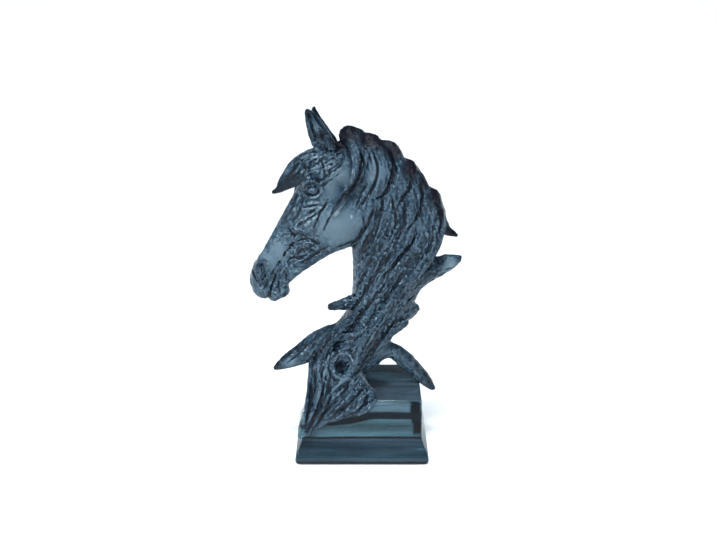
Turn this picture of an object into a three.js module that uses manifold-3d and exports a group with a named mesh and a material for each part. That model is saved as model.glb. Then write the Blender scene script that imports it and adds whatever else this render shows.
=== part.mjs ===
// Horse head sculpture: a cast horse's head and neck with a windswept mane,
// growing out of twisted roots on a rectangular plinth with a flared foot.
// Millimetres, +Z up, the muzzle points along -X, the near side faces -Y.
// The origin is the centre of the plinth's underside.
import * as THREE from "three";
import Module from "manifold-3d";

// ---- driving dimensions -------------------------------------------------
const HEIGHT = 300;              // underside to the tip of the ears
const PLINTH_H = 58;             // top of the block
const FOOT_X = 114.4;            // widest part of the foot
const BLOCK_X = 102.4, BLOCK_Y = 79; // block just above the flare
const FLARE_TOP = 23;            // the flare of the foot reaches this high
const WRAP_X = 47, WRAP_FROM = 30;   // the roots wrap over the block's left edge from here up
const CORNER_R = 3;              // upright corners of foot and block
const CORNER_STEPS = 4;
const CAST_BASE = 14;            // the cast roots end this deep inside the block
const CELL = 1.7;                // grid the carved form is worked out on
const TRIANGLES = 9000;          // facets kept on the carved form

// profile of the plinth, upwards: [inset from the block's width and depth, height];
// a soft bottom edge, a concave flare up to the block, and a small top bevel
const FLARE = (FOOT_X - BLOCK_X) / 2;
const PROFILE = [[FLARE - 2.6, 0], [FLARE - 1.2, 0.6], [FLARE - 0.3, 2], [FLARE, 4], [FLARE - 0.4, 6.5],
  [0.8 * FLARE, 9.5], [0.56 * FLARE, 12.5], [0.33 * FLARE, 15.6], [0.14 * FLARE, 19], [0, FLARE_TOP],
  [-0.6, PLINTH_H - 2], [-1.1, PLINTH_H - 0.7], [-2.2, PLINTH_H]]
  .map(([out, z]) => [BLOCK_X + 2 * out, BLOCK_Y + 2 * out, z]);

// The carved form. A stroke is a limb of oval section through a few stations
// [x, y, z, half-thickness seen from the side, half-thickness across]; a groove
// is the same, cut away. A strand lies on the skin of what is there already,
// through stations [x, z, half-width], and stands out by its rise. A lump is an oval body, a hollow the same, cut away,
// turned in the side view by "turn" degrees. "blend" is the width of the soft
// fillet to what is there already. "far" repeats a stroke, groove or strand on the far
// side, moved along x and z; "pair" mirrors a lump or hollow.
const FORM = {
  skull: { form: "stroke", blend: 6, far: null, at: [[-19.8, 0, 250.7, 14.4, 14], [-30.2, 0, 240.6, 17.8, 16], [-37.8, 0, 219.2, 21, 16.5], [-49.4, 0, 194.9, 22.3, 12.5], [-63.1, 0, 176.8, 19.1, 10], [-74.8, 0, 162.2, 15.9, 9.5], [-79.4, 0, 152.7, 16.1, 10.5]] },
  jaw_bar: { form: "stroke", blend: 5, far: [0, 0], at: [[-16.7, -11, 193.1, 6.8, 5], [-36.7, -9, 179.4, 6.8, 5], [-54.6, -7, 165.5, 5.9, 5], [-64.2, -4, 155.5, 5.1, 5]] },
  neck: { form: "stroke", blend: 6, far: null, at: [[-10, 0, 255.8, 18.6, 12], [6.5, 0, 237.2, 28.8, 15], [22.4, 0, 208.8, 35.5, 18], [25.7, 0, 178.2, 34.2, 20.5], [20.1, 0, 146.9, 28.4, 22], [11.5, 0, 122.4, 23.3, 24], [0.1, 0, 94.6, 21.5, 26]] },
  trunk: { form: "stroke", blend: 6, far: null, at: [[5.2, 0, 113.2, 19.1, 25], [-10.7, -2, 91.7, 21.1, 29], [-16.8, -4, 70, 19.3, 33], [-20.9, -4, 47.2, 19.1, 36], [-22.8, 0, 27.9, 18.6, 36]] },
  ear_near: { form: "stroke", blend: 3, far: null, at: [[-25.3, -9, 259.6, 6.8, 6], [-30.5, -10, 270.6, 8.8, 6.5], [-34.9, -11, 279.9, 8.3, 6.2], [-39.7, -12, 290.7, 5.9, 4.6], [-42.8, -12.5, 297.7, 3.2, 2.8], [-43.9, -12.5, 300, 1.6, 1.8]] },
  ear_far: { form: "stroke", blend: 3, far: null, at: [[-21.6, 9, 255.3, 6.8, 6], [-27.7, 10, 266, 8.8, 6.5], [-32.2, 10, 275.2, 7.4, 6.2], [-37, 10, 286.1, 5.1, 4.6], [-38.9, 9.5, 293.6, 2.9, 2.6], [-39.4, 9, 297.4, 1.6, 1.8]] },
  forelock_a: { form: "stroke", blend: 3, far: null, at: [[-21.3, -2, 264.9, 7.6, 9], [-37.2, -3, 260.3, 8, 9], [-49.6, -5, 256, 7.1, 6], [-59.5, -6, 247.5, 5.2, 4], [-65.9, -7, 240, 3.2, 2.8], [-68.6, -7, 236.5, 1.7, 1.8]] },
  forelock_b: { form: "stroke", blend: 3, far: null, at: [[-29.5, -5, 257, 7.6, 6], [-44.1, -8, 251, 7.6, 6], [-55.1, -9, 242.4, 5.9, 5], [-65.6, -9, 235.3, 3.7, 3.4], [-72.4, -9, 231.6, 1.9, 1.8]] },
  forelock_c: { form: "stroke", blend: 3, far: null, at: [[-26.5, 6, 256, 7.6, 6], [-41.5, 8, 248.7, 6.8, 6], [-50.8, 9, 236.5, 5.1, 4], [-55.2, 8, 223, 2.5, 2.4]] },
  crest_lock1: { form: "stroke", blend: 2.5, far: [3, 0], at: [[-11.9, 0, 277.4, 7.6, 8], [-4.2, -9, 270.4, 7.6, 6], [-2.2, -15, 255.3, 5.9, 4], [-8.3, -19, 238, 4.2, 3], [-18, -20.5, 225, 2.5, 2], [-25.4, -20.5, 216.5, 1.4, 1.2]] },
  crest_lock2: { form: "stroke", blend: 3, far: [2, 0], at: [[3.9, 0, 268.7, 10.2, 8], [12, -9, 258.8, 10.2, 6], [13.7, -13, 242.3, 10.2, 5], [7.2, -14.5, 223.3, 7.6, 4], [-1.8, -13.5, 208.5, 3.4, 3]] },
  crest_lock3: { form: "stroke", blend: 3, far: [-3, 3], at: [[22.8, 0, 260, 10.2, 8], [28.4, -9, 249.2, 10.2, 6], [28.4, -14, 231.6, 9.3, 5], [22, -15.5, 212.5, 7.6, 4], [13.1, -15, 191.8, 3.4, 3]] },
  crest_lock4: { form: "stroke", blend: 3, far: [3, 0], at: [[32.8, 0, 247.5, 10.2, 8], [40, -9, 236.2, 9.3, 6], [40.8, -13.5, 218.8, 8.5, 5], [36.1, -16.5, 199.1, 7.6, 4], [26.4, -17.4, 178.6, 5.9, 3.6], [17.4, -16.4, 159, 3, 2.4]] },
  crest_lock5: { form: "stroke", blend: 3, far: [-2, 2], at: [[43.5, 0, 236, 10.2, 8], [51.5, -8, 223.5, 8.5, 6], [51.3, -12.5, 203.9, 8.5, 5], [45.3, -16.5, 185.3, 7.6, 4], [34, -18, 164.8, 5.9, 3.6], [23.4, -17, 144.1, 3, 2.4]] },
  crest_lock6: { form: "stroke", blend: 3, far: [0, 0], at: [[55.1, 0, 222.6, 10.2, 8], [61.3, -6, 208.9, 8, 6], [59.6, -11, 192.2, 8, 5], [51.4, -14.5, 175.9, 8, 5], [39.9, -16, 159.7, 5.9, 4], [31.9, -15, 140.7, 3, 3]] },
  crest_lock7: { form: "stroke", blend: 2.5, far: null, at: [[60.8, 3, 212.3, 8.5, 8], [65.5, 2, 201.3, 6.8, 6], [70.7, 0, 196.1, 4.7, 4], [75.5, -1, 193.8, 3.2, 3], [78.6, -1, 192.4, 2, 2]] },
  tip_upper: { form: "stroke", blend: 3, far: null, at: [[34, 0, 150, 14.4, 16], [51.6, 0, 159, 10.8, 11], [63.4, 0, 164, 9.3, 8], [73.4, 0, 168.3, 7.1, 5.5], [79.6, 0, 170.7, 4.4, 3.6], [82.1, 0, 171.6, 2.4, 2]] },
  tip_lower: { form: "stroke", blend: 3.4, far: null, at: [[11.2, 0, 115, 17.4, 22], [27.4, 0, 122, 13.2, 15], [38, 0, 125.8, 9.6, 10], [45.2, 0, 126.6, 4.6, 5]] },
  twig: { form: "stroke", blend: 2, far: null, at: [[-1.7, -6, 134.7, 7.1, 8], [-10.2, -8, 134.7, 6.1, 6], [-20.3, -9, 132.7, 4.6, 4.2], [-26.7, -10, 131.5, 3, 3]] },
  branch_left: { form: "stroke", blend: 4, far: null, at: [[-14.6, -4, 100.9, 14.2, 15], [-30.9, -6, 97.5, 13.4, 12], [-46.3, -8, 90.5, 10.8, 9], [-59.3, -9, 83.6, 8, 7], [-67.9, -10, 79.2, 5.4, 5], [-74, -10, 75.7, 2.7, 2.6]] },
  arch: { form: "stroke", blend: 3, far: null, at: [[-10.3, -14, 73.5, 7.6, 9], [1.7, -12, 81, 7.6, 8.5], [14.6, -8, 88.6, 7.3, 8], [25, -5, 89.6, 7.1, 8], [34.7, -3, 82.4, 7.4, 8], [45.3, -1, 70.8, 7.1, 7], [55.7, 0, 59.1, 5.6, 5.5], [61.8, 0, 52.2, 2.9, 3]] },
  vine_diagonal: { form: "stroke", blend: 2, far: null, at: [[20, -22, 129, 4.2, 4], [8.3, -24, 120.8, 5.1, 5], [-0, -27, 105.8, 5.5, 5], [-5.4, -30, 92.5, 5.5, 5], [-11, -34, 79.6, 5.1, 4.6], [-21.9, -36.5, 71.5, 4.7, 4.4], [-29, -38, 61.2, 4.2, 4], [-35, -39.5, 47.9, 3.4, 3.4], [-41.1, -40, 36, 2, 2.4]] },
  root_corner: { form: "stroke", blend: 2.5, far: null, at: [[-32.5, -12, 90.3, 7.6, 9], [-37.1, -22, 76.1, 6.8, 9], [-39, -32, 62.1, 5.9, 8], [-43.2, -38, 49.1, 5.5, 5.4], [-49.2, -39.6, 35.3, 4.2, 4.2], [-52.4, -41, 26.2, 2.7, 2.8]] },
  root_two: { form: "stroke", blend: 2.5, far: null, at: [[-27.1, -22, 89, 6.8, 7], [-30.5, -30, 74.1, 6.8, 7], [-33.8, -36, 58.4, 5.9, 6], [-39.8, -39.5, 43.3, 5.1, 5], [-45.8, -41.5, 30.2, 3.4, 3.4]] },
  root_three: { form: "stroke", blend: 2.5, far: null, at: [[-8.5, -28, 78.8, 6.8, 7], [-11, -34, 66.7, 7.2, 6], [-18.6, -37.5, 55.4, 6.8, 5.5], [-28.8, -39.5, 44.2, 5.1, 4.4], [-37.3, -40.5, 36.3, 2.5, 3]] },
  root_four: { form: "stroke", blend: 2.5, far: null, at: [[-6, -24, 72.4, 6.8, 8], [-1.7, -34, 63.9, 6.8, 6], [-5.1, -37.5, 55.4, 6.8, 5], [-12.7, -39, 47.7, 5.5, 4.6], [-20.3, -39.5, 42.3, 2.5, 3]] },
  root_five: { form: "stroke", blend: 2.5, far: null, at: [[-3.4, -18, 70.6, 5.1, 8], [2.5, -29, 65.3, 4.6, 6], [9.3, -37, 60.7, 3.9, 4], [5, -38.8, 52.3, 4.2, 3.6], [-2.6, -39.2, 45.9, 2.5, 3]] },
  skirt_left: { form: "stroke", blend: 4, far: null, at: [[-36.6, -22, 81.7, 6.8, 10], [-37.3, -33, 62.5, 8, 7], [-42, -38, 44.4, 7.3, 5], [-47.6, -40.5, 30.6, 4.7, 3.6]] },
  skirt_mid: { form: "stroke", blend: 4, far: null, at: [[-23.7, -27, 83.9, 10.2, 10], [-23.7, -33, 64.4, 11, 7], [-30.5, -38, 50, 9.3, 4.4], [-39, -39.5, 37.6, 5.1, 2.6]] },
  skirt_right: { form: "stroke", blend: 4, far: null, at: [[-10.2, -26, 73.3, 9.3, 9], [-6.8, -34, 63, 9.3, 6], [-11, -37.5, 54.4, 8.5, 4], [-20.3, -39, 46.8, 4.2, 2.4]] },
  strand_back: { form: "stroke", blend: 2, far: null, at: [[35.5, -14, 118.7, 4.2, 5], [24.5, -18, 112.1, 4.6, 4.4], [12.7, -20, 102, 4.2, 4], [3.4, -22, 90.9, 3.9, 4], [-3.4, -26, 81.6, 2.5, 3]] },
  strand_front: { form: "stroke", blend: 2, far: null, at: [[-8.4, -18, 123.9, 4.2, 4], [-17.7, -22, 116.4, 4.7, 4.6], [-27, -24, 105.4, 4.7, 4.6], [-33.8, -25, 94, 4.2, 4.4], [-36.4, -28, 82.5, 2.5, 3]] },
  far_root1: { form: "stroke", blend: 4, far: null, at: [[-26.4, 18, 74.7, 11.8, 12], [-34, 31, 53.6, 9.3, 9], [-39.7, 36.5, 40.2, 7.6, 6], [-43.6, 39, 25.1, 5.1, 4.2]] },
  far_root2: { form: "stroke", blend: 4, far: null, at: [[-8.7, 20, 69.1, 11.8, 12], [-9.7, 32, 55.1, 9.3, 9], [-13.4, 36.5, 44.2, 6.8, 6], [-16.2, 38.5, 33.4, 4.2, 4.2]] },
  far_root3: { form: "stroke", blend: 4, far: null, at: [[-3.4, 18, 79.5, 10.2, 11], [-0.7, 27, 66, 7.6, 9], [-1.6, 33, 53.7, 5.1, 6]] },
  cheek: { form: "lump", blend: 7, pair: true, centre: [-20.8, -8, 207.7], half: [25, 11.5, 25], turn: 0 },
  brow: { form: "lump", blend: 5, pair: true, centre: [-43.2, -14, 240.9], half: [7, 6, 5], turn: -50 },
  temple: { form: "lump", blend: 6, pair: true, centre: [-32.7, -8, 251], half: [9, 8, 9], turn: 0 },
  zygoma: { form: "lump", blend: 5, pair: true, centre: [-41, -14, 223.2], half: [13, 4.5, 4.5], turn: 56 },
  muzzle_side: { form: "lump", blend: 5, pair: true, centre: [-85.4, -6.5, 161.4], half: [8, 5.5, 7.5], turn: 60 },
  upper_lip: { form: "lump", blend: 5, pair: true, centre: [-83.6, -3.6, 145], half: [7.4, 7.6, 7.2], turn: 35 },
  lower_lip: { form: "lump", blend: 4, pair: false, centre: [-74.5, 0, 138.4], half: [5.6, 7.6, 5.4], turn: 20 },
  chin: { form: "lump", blend: 5, pair: false, centre: [-67.5, 0, 143.3], half: [6, 8, 6.4], turn: 30 },
  fall_one: { form: "strand", blend: 1.6, rise: 2.4, far: [2, 1], at: [[48.3, 194.8, 3.4], [38.6, 183.1, 4.6], [27.2, 168.7, 5.1], [17.4, 153, 5.1], [8.3, 135.5, 4.7], [-0.1, 118.6, 3]] },
  fall_two: { form: "strand", blend: 1.6, rise: 2.6, far: [-2, 0], at: [[56, 180.8, 4.2], [44.6, 166.5, 5.1], [32.4, 151.8, 5.4], [21.6, 138.3, 5.1], [10.8, 124.2, 4.6], [-0.1, 107.7, 2.5]] },
  fall_three: { form: "strand", blend: 1.6, rise: 2.2, far: [3, 0], at: [[37.6, 193.5, 2.9], [28.7, 180.9, 4.2], [18.9, 166, 4.7], [8.3, 148.9, 4.6], [-0.9, 133, 3.9], [-9.3, 122.2, 2]] },
  fall_four: { form: "strand", blend: 1.6, rise: 2, far: [-1, 3], at: [[27.7, 205, 2.9], [20.5, 187.3, 4.2], [10.7, 169.7, 4.6], [2.4, 153, 3.9], [-4.2, 139.2, 2]] },
  fall_five: { form: "strand", blend: 1.6, rise: 1.9, far: [1, 3], at: [[17, 215.2, 2.9], [12.2, 196.4, 4.2], [5.7, 177.6, 4.2], [-0.9, 158.9, 3.6], [-4.2, 144.8, 1.9]] },
  fall_six: { form: "strand", blend: 1.6, rise: 1.6, far: [1, 2], at: [[5.5, 230.2, 2.5], [7.2, 213, 3.9], [3.2, 195.4, 3.6], [-2.6, 182, 2]] },
  column_one: { form: "strand", blend: 1.6, rise: 1.8, far: null, at: [[-42.4, 85.4, 3.4], [-43, 72.3, 3.7], [-44.6, 57.2, 3.6], [-48.5, 40.8, 3], [-51.7, 28.7, 2]] },
  column_two: { form: "strand", blend: 1.6, rise: 1.8, far: null, at: [[-34.5, 87.3, 2.9], [-36.2, 72.2, 3.4], [-39.5, 56.2, 3.2], [-44.7, 40.3, 2.2]] },
  column_three: { form: "strand", blend: 1.6, rise: 1.6, far: null, at: [[-27.3, 81.1, 2.5], [-30.2, 66.3, 3], [-35.3, 52, 2.9], [-41.4, 38.6, 1.7]] },
  swirl_top: { form: "strand", blend: 1.6, rise: 1.8, far: null, at: [[-30.2, 104.5, 2.5], [-21.8, 109.7, 3], [-11.8, 109.9, 3.2], [-1.7, 113.5, 2.5]] },
  swirl_low: { form: "strand", blend: 1.6, rise: 1.8, far: null, at: [[-8.4, 72.6, 2.5], [-14.3, 67.7, 3.7], [-20.2, 62.7, 4.6], [-26.1, 55.1, 3.7], [-32, 45.4, 2.2]] },
  eye_socket: { form: "hollow", blend: 2.4, pair: true, centre: [-39.9, -21.5, 236.7], half: [7, 4.2, 4.8], turn: -15 },
  nostril: { form: "hollow", blend: 1, pair: true, centre: [-89.8, -11.2, 161.2], half: [4.2, 2.8, 1.9], turn: 68 },
  knot: { form: "hollow", blend: 2, pair: false, centre: [-17.3, -36.5, 87.6], half: [6.4, 7, 6.6], turn: 20 },
  upper_lid: { form: "stroke", blend: 1.2, far: [0, 0], at: [[-47.4, -16.4, 233.9, 1.3, 1.3], [-45, -18, 239.1, 1.9, 1.8], [-39.8, -18.8, 241.4, 2.1, 2], [-34.7, -18.4, 239, 1.7, 1.6], [-32.6, -17.4, 234.6, 1.1, 1.1]] },
  lower_lid: { form: "stroke", blend: 1.2, far: [0, 0], at: [[-47.3, -16.4, 232.8, 1.1, 1.1], [-43.5, -17.6, 230.1, 1.4, 1.5], [-38.3, -18, 230.3, 1.4, 1.5], [-33.4, -17.6, 233.8, 1.1, 1.1]] },
  nostril_rim: { form: "stroke", blend: 2.6, far: [0, 0], at: [[-81.8, -10.8, 170.7, 1.9, 2], [-85.5, -11.4, 169.4, 2.7, 2.8], [-87.4, -11.6, 165.3, 2.7, 2.6], [-87.3, -11.2, 159.8, 2, 2.2], [-86.1, -10.4, 155.5, 1.2, 1.4]] },
  knot_rim: { form: "stroke", blend: 1.5, far: null, at: [[-24.1, -27, 96.1, 1.9, 2.4], [-25.8, -31, 88.3, 2, 2.6], [-23.1, -34, 81.1, 2, 2.6], [-16.3, -35.4, 78.4, 2, 2.6], [-10.3, -33.4, 82.4, 1.9, 2.4], [-8.1, -30.4, 90.8, 1.7, 2.2], [-12.1, -27.4, 97.8, 1.5, 2], [-18.9, -26.4, 98.6, 1.5, 2]] },
  eyeball: { form: "lump", blend: 0.5, pair: true, centre: [-39.9, -16.8, 235.6], half: [4.4, 3.5, 3.7], turn: -15 },
  ear_near_in: { form: "groove", blend: 1.2, far: null, at: [[-30.4, -14, 268.3, 3, 3], [-35.1, -16, 275.3, 5.9, 4.5], [-38.7, -16.6, 283.5, 5.2, 4.4], [-41.3, -16, 291.5, 3.2, 3.4], [-42.8, -14.8, 296.9, 1.4, 1.6]] },
  ear_far_in: { form: "groove", blend: 1.2, far: null, at: [[-26.7, 15, 259.8, 3, 3], [-30.8, 16, 266.3, 5.1, 4.5], [-34.4, 16, 275.6, 4.6, 4.4], [-37.2, 15, 285, 2.7, 3.2], [-37.9, 13, 291.3, 1.2, 1.6]] },
  nostril_fold: { form: "groove", blend: 1.2, far: [0, 0], at: [[-83.7, -13, 170.7, 0.8, 1.4], [-81.8, -13, 165.8, 1.4, 2.2], [-80.9, -12, 158.7, 1, 1.6]] },
  mouth: { form: "groove", blend: 1.2, far: [0, 0], at: [[-81.4, -3, 132.6, 1.1, 5], [-78.6, -8.4, 141.3, 1.3, 3], [-75.6, -11.5, 150.2, 1.3, 2.8], [-72.9, -12, 157.1, 1.4, 2.6]] },
  jaw_groove: { form: "groove", blend: 2.5, far: [0, 0], at: [[-53.3, -12, 175.1, 1.4, 1.6], [-46.4, -15, 186.6, 1.5, 1.8], [-39.5, -17.5, 199.4, 1.2, 1.4], [-33.6, -20, 213.8, 0.8, 1]] },
  throat_fold: { form: "groove", blend: 2, far: [0, 0], at: [[-7.5, -16, 186, 2, 3], [1.5, -18, 190.1, 2, 3], [8.1, -20, 196.8, 1.2, 2]] },
  lock_shadow1: { form: "groove", blend: 1.2, far: null, at: [[-1, -14, 265.8, 1.4, 2.4], [2.2, -18, 251.9, 1.7, 2.6], [-3.4, -20.5, 238.4, 2, 2.4], [-11.5, -21.5, 229.5, 1.4, 1.8], [-23.7, -21.5, 217.7, 0.8, 1.2]] },
  lock_shadow2: { form: "groove", blend: 1.2, far: null, at: [[22.5, -9, 264.6, 1.4, 2.4], [27.3, -15, 251.1, 1.5, 2.6], [23.3, -19.5, 238.1, 1.5, 2.4], [12, -20.5, 228.3, 1.2, 1.8]] },
  neck_groove: { form: "groove", blend: 1.2, far: null, at: [[45, -21, 195.4, 1.5, 2.2], [34.3, -24, 183.4, 1.9, 2.2], [23.7, -25.5, 170.9, 1.9, 2.2], [19.7, -25.5, 160.4, 1.2, 1.6]] },
};

// ---- plinth -------------------------------------------------------------
function roundedRing(wide, deep, z) {
  const ring = [], hx = wide / 2 - CORNER_R, hy = deep / 2 - CORNER_R;
  for (const [sx, sy, quarter] of [[1, 1, 0], [-1, 1, 1], [-1, -1, 2], [1, -1, 3]]) {
    for (let i = 0; i <= CORNER_STEPS; i++) {
      const a = (quarter + i / CORNER_STEPS) * Math.PI / 2;
      ring.push([sx * hx + CORNER_R * Math.cos(a), sy * hy + CORNER_R * Math.sin(a), z]);
    }
  }
  return ring;
}

function loft(rings) {
  const pos = [], tri = [], n = rings[0].length;
  for (const ring of rings) for (const p of ring) pos.push(...p);
  for (let i = 0; i + 1 < rings.length; i++) {
    for (let j = 0; j < n; j++) {
      const a = i * n + j, b = i * n + (j + 1) % n;
      tri.push(a, b, b + n, a, b + n, a + n);
    }
  }
  const last = (rings.length - 1) * n;
  for (let j = 1; j + 1 < n; j++) {
    tri.push(0, j + 1, j);
    tri.push(last, last + j, last + j + 1);
  }
  return { pos: Float64Array.from(pos), tri: Int32Array.from(tri) };
}

// ---- distance field of the carved form ------------------------------------
function throughStations(stations, steps) {
  const n = stations[0].length;
  const mirror = (a, b) => a.map((v, i) => 2 * v - b[i]);
  const s = [mirror(stations[0], stations[1]), ...stations,
    mirror(stations[stations.length - 1], stations[stations.length - 2])];
  const out = [];
  for (let i = 1; i < s.length - 2; i++) {
    for (let j = 0; j < steps; j++) {
      const t = j / steps, p = new Array(n);
      for (let c = 0; c < n; c++) {
        const [a, b, d, e] = [s[i - 1][c], s[i][c], s[i + 1][c], s[i + 2][c]];
        p[c] = 0.5 * (2 * b + (d - a) * t + (2 * a - 5 * b + 4 * d - e) * t * t + (3 * b - a - 3 * d + e) * t * t * t);
      }
      out.push(p);
    }
  }
  out.push(stations[stations.length - 1].slice());
  for (const p of out) for (let c = 3; c < n; c++) p[c] = Math.max(p[c], 0.3);
  return out;
}

class Field {
  constructor(lo, hi, cell) {
    this.lo = lo;
    this.cell = cell;
    this.n = lo.map((v, i) => Math.ceil((hi[i] - v) / cell) + 1);
    this.value = new Float32Array(this.n[0] * this.n[1] * this.n[2]).fill(30);
  }
  block(lo, hi) {
    const a = [], b = [];
    for (let i = 0; i < 3; i++) {
      a.push(Math.max(0, Math.floor((lo[i] - this.lo[i]) / this.cell)));
      b.push(Math.min(this.n[i], Math.floor((hi[i] - this.lo[i]) / this.cell) + 2));
    }
    return [a, b];
  }
  each([a, b], visit) {
    const [, ny, nz] = this.n;
    for (let i = a[0]; i < b[0]; i++) {
      const x = this.lo[0] + i * this.cell;
      for (let j = a[1]; j < b[1]; j++) {
        const y = this.lo[1] + j * this.cell;
        for (let k = a[2]; k < b[2]; k++) visit((i * ny + j) * nz + k, x, y, this.lo[2] + k * this.cell);
      }
    }
  }
  join(block, near, blend, away) {
    this.each(block, (at) => {
      const d = near[at], f = this.value[at];
      if (d > 29) return;
      const other = away ? -d : d;
      const h = Math.max(blend - Math.abs(f - other), 0) / blend;
      this.value[at] = away ? Math.max(f, other) + h * h * blend / 4 : Math.min(f, other) - h * h * blend / 4;
    });
  }
  stroke(stations, blend, away) {
    const p = throughStations(stations, 6), margin = blend + 2;
    const reach = margin + Math.max(...p.map((q) => Math.max(q[3], q[4])));
    const lo = [0, 1, 2].map((c) => Math.min(...p.map((q) => q[c])) - reach);
    const hi = [0, 1, 2].map((c) => Math.max(...p.map((q) => q[c])) + reach);
    const whole = this.block(lo, hi), near = this.scratch();
    for (let i = 0; i + 1 < p.length; i++) {
      const a = p[i], b = p[i + 1], m = margin + Math.max(a[3], b[3], a[4], b[4]);
      const flat = 0.5 * (a[3] / a[4] + b[3] / b[4]);
      const ex = b[0] - a[0], ey = (b[1] - a[1]) * flat, ez = b[2] - a[2], len2 = ex * ex + ey * ey + ez * ez + 1e-9;
      const part = this.block([0, 1, 2].map((c) => Math.min(a[c], b[c]) - m), [0, 1, 2].map((c) => Math.max(a[c], b[c]) + m));
      this.each(part, (at, x, y, z) => {
        const px = x - a[0], py = (y - a[1]) * flat, pz = z - a[2];
        const u = Math.min(1, Math.max(0, (px * ex + py * ey + pz * ez) / len2));
        const dx = px - u * ex, dy = py - u * ey, dz = pz - u * ez;
        const dist = Math.sqrt(dx * dx + dy * dy + dz * dz) + 1e-6;
        const slope = Math.sqrt(dx * dx + flat * flat * dy * dy + dz * dz) / dist;
        const d = (dist - (a[3] + u * (b[3] - a[3]))) / Math.max(slope, 0.35);
        if (d < near[at]) near[at] = d;
      });
    }
    this.join(whole, near, blend, away);
  }
  at(x, y, z) {
    const [, ny, nz] = this.n, v = [x, y, z].map((p, c) => Math.min(Math.max((p - this.lo[c]) / this.cell, 0), this.n[c] - 1.001));
    const b = v.map(Math.floor), t = v.map((p, c) => p - b[c]);
    let sum = 0;
    for (let m = 0; m < 8; m++) {
      const o = [m & 1, (m >> 1) & 1, (m >> 2) & 1];
      const w = o.reduce((p, q, c) => p * (q ? t[c] : 1 - t[c]), 1);
      sum += w * this.value[((b[0] + o[0]) * ny + b[1] + o[1]) * nz + b[2] + o[2]];
    }
    return sum;
  }
  // y at which the body begins, coming in from one side
  skin(x, z, side) {
    let last = null;
    for (let y = side * 50; side * y > 0; y -= side * 0.5) {
      const f = this.at(x, y, z);
      if (f < 0) return last === null ? y : y - side * 0.5 * f / (last - f);
      last = f;
    }
    return 0;
  }
  // a strand lies on the skin and stands out by its rise, less at both ends
  strand(stations, rise, side, blend) {
    const last = stations.length - 1;
    this.stroke(stations.map(([x, z, r], i) => {
      const across = Math.max(0.62 * r, 0.35), out = rise * (i === 0 || i === last ? 0.35 : 1) * Math.min(1, r / 3);
      return [x, this.skin(x, z, side) - side * (across - out), z, r, across];
    }), blend, false);
  }
  oval(c, r, turn, blend, away) {
    const m = Math.max(...r) + blend + 2, ca = Math.cos(turn * Math.PI / 180), sa = Math.sin(turn * Math.PI / 180);
    const block = this.block(c.map((v) => v - m), c.map((v) => v + m)), near = this.scratch();
    this.each(block, (at, x, y, z) => {
      const u = (x - c[0]) * ca + (z - c[2]) * sa, w = -(x - c[0]) * sa + (z - c[2]) * ca, v = y - c[1];
      const k0 = Math.hypot(u / r[0], v / r[1], w / r[2]);
      const k1 = Math.hypot(u / r[0] ** 2, v / r[1] ** 2, w / r[2] ** 2) + 1e-6;
      near[at] = k0 * (k0 - 1) / k1;
    });
    this.join(block, near, blend, away);
  }
  scratch() {
    if (!this.near) this.near = new Float32Array(this.value.length);
    return this.near.fill(30);
  }
  floor(level) {
    this.each([[0, 0, 0], this.n], (at, x, y, z) => { this.value[at] = Math.max(this.value[at], level - z); });
  }
}

function carvedForm() {
  const field = new Field([-96, -50, CAST_BASE - 4], [90, 50, HEIGHT + 5], CELL);
  for (const f of Object.values(FORM)) {
    if (f.form === "strand") {
      field.strand(f.at, f.rise, -1, f.blend);
      if (f.far) field.strand(f.at.map(([x, z, r]) => [x + f.far[0], z + f.far[1], r]), f.rise, 1, f.blend);
    } else if (f.form === "stroke" || f.form === "groove") {
      const away = f.form === "groove";
      field.stroke(f.at, f.blend, away);
      if (f.far) field.stroke(f.at.map(([x, y, z, r, w]) => [x + f.far[0], -y, z + f.far[1], r, w]), f.blend, away);
    } else {
      const away = f.form === "hollow";
      for (const side of f.pair ? [1, -1] : [1]) {
        field.oval([f.centre[0], side * f.centre[1], f.centre[2]], f.half, f.turn, f.blend, away);
      }
    }
  }
  field.floor(CAST_BASE);
  return field;
}

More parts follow.
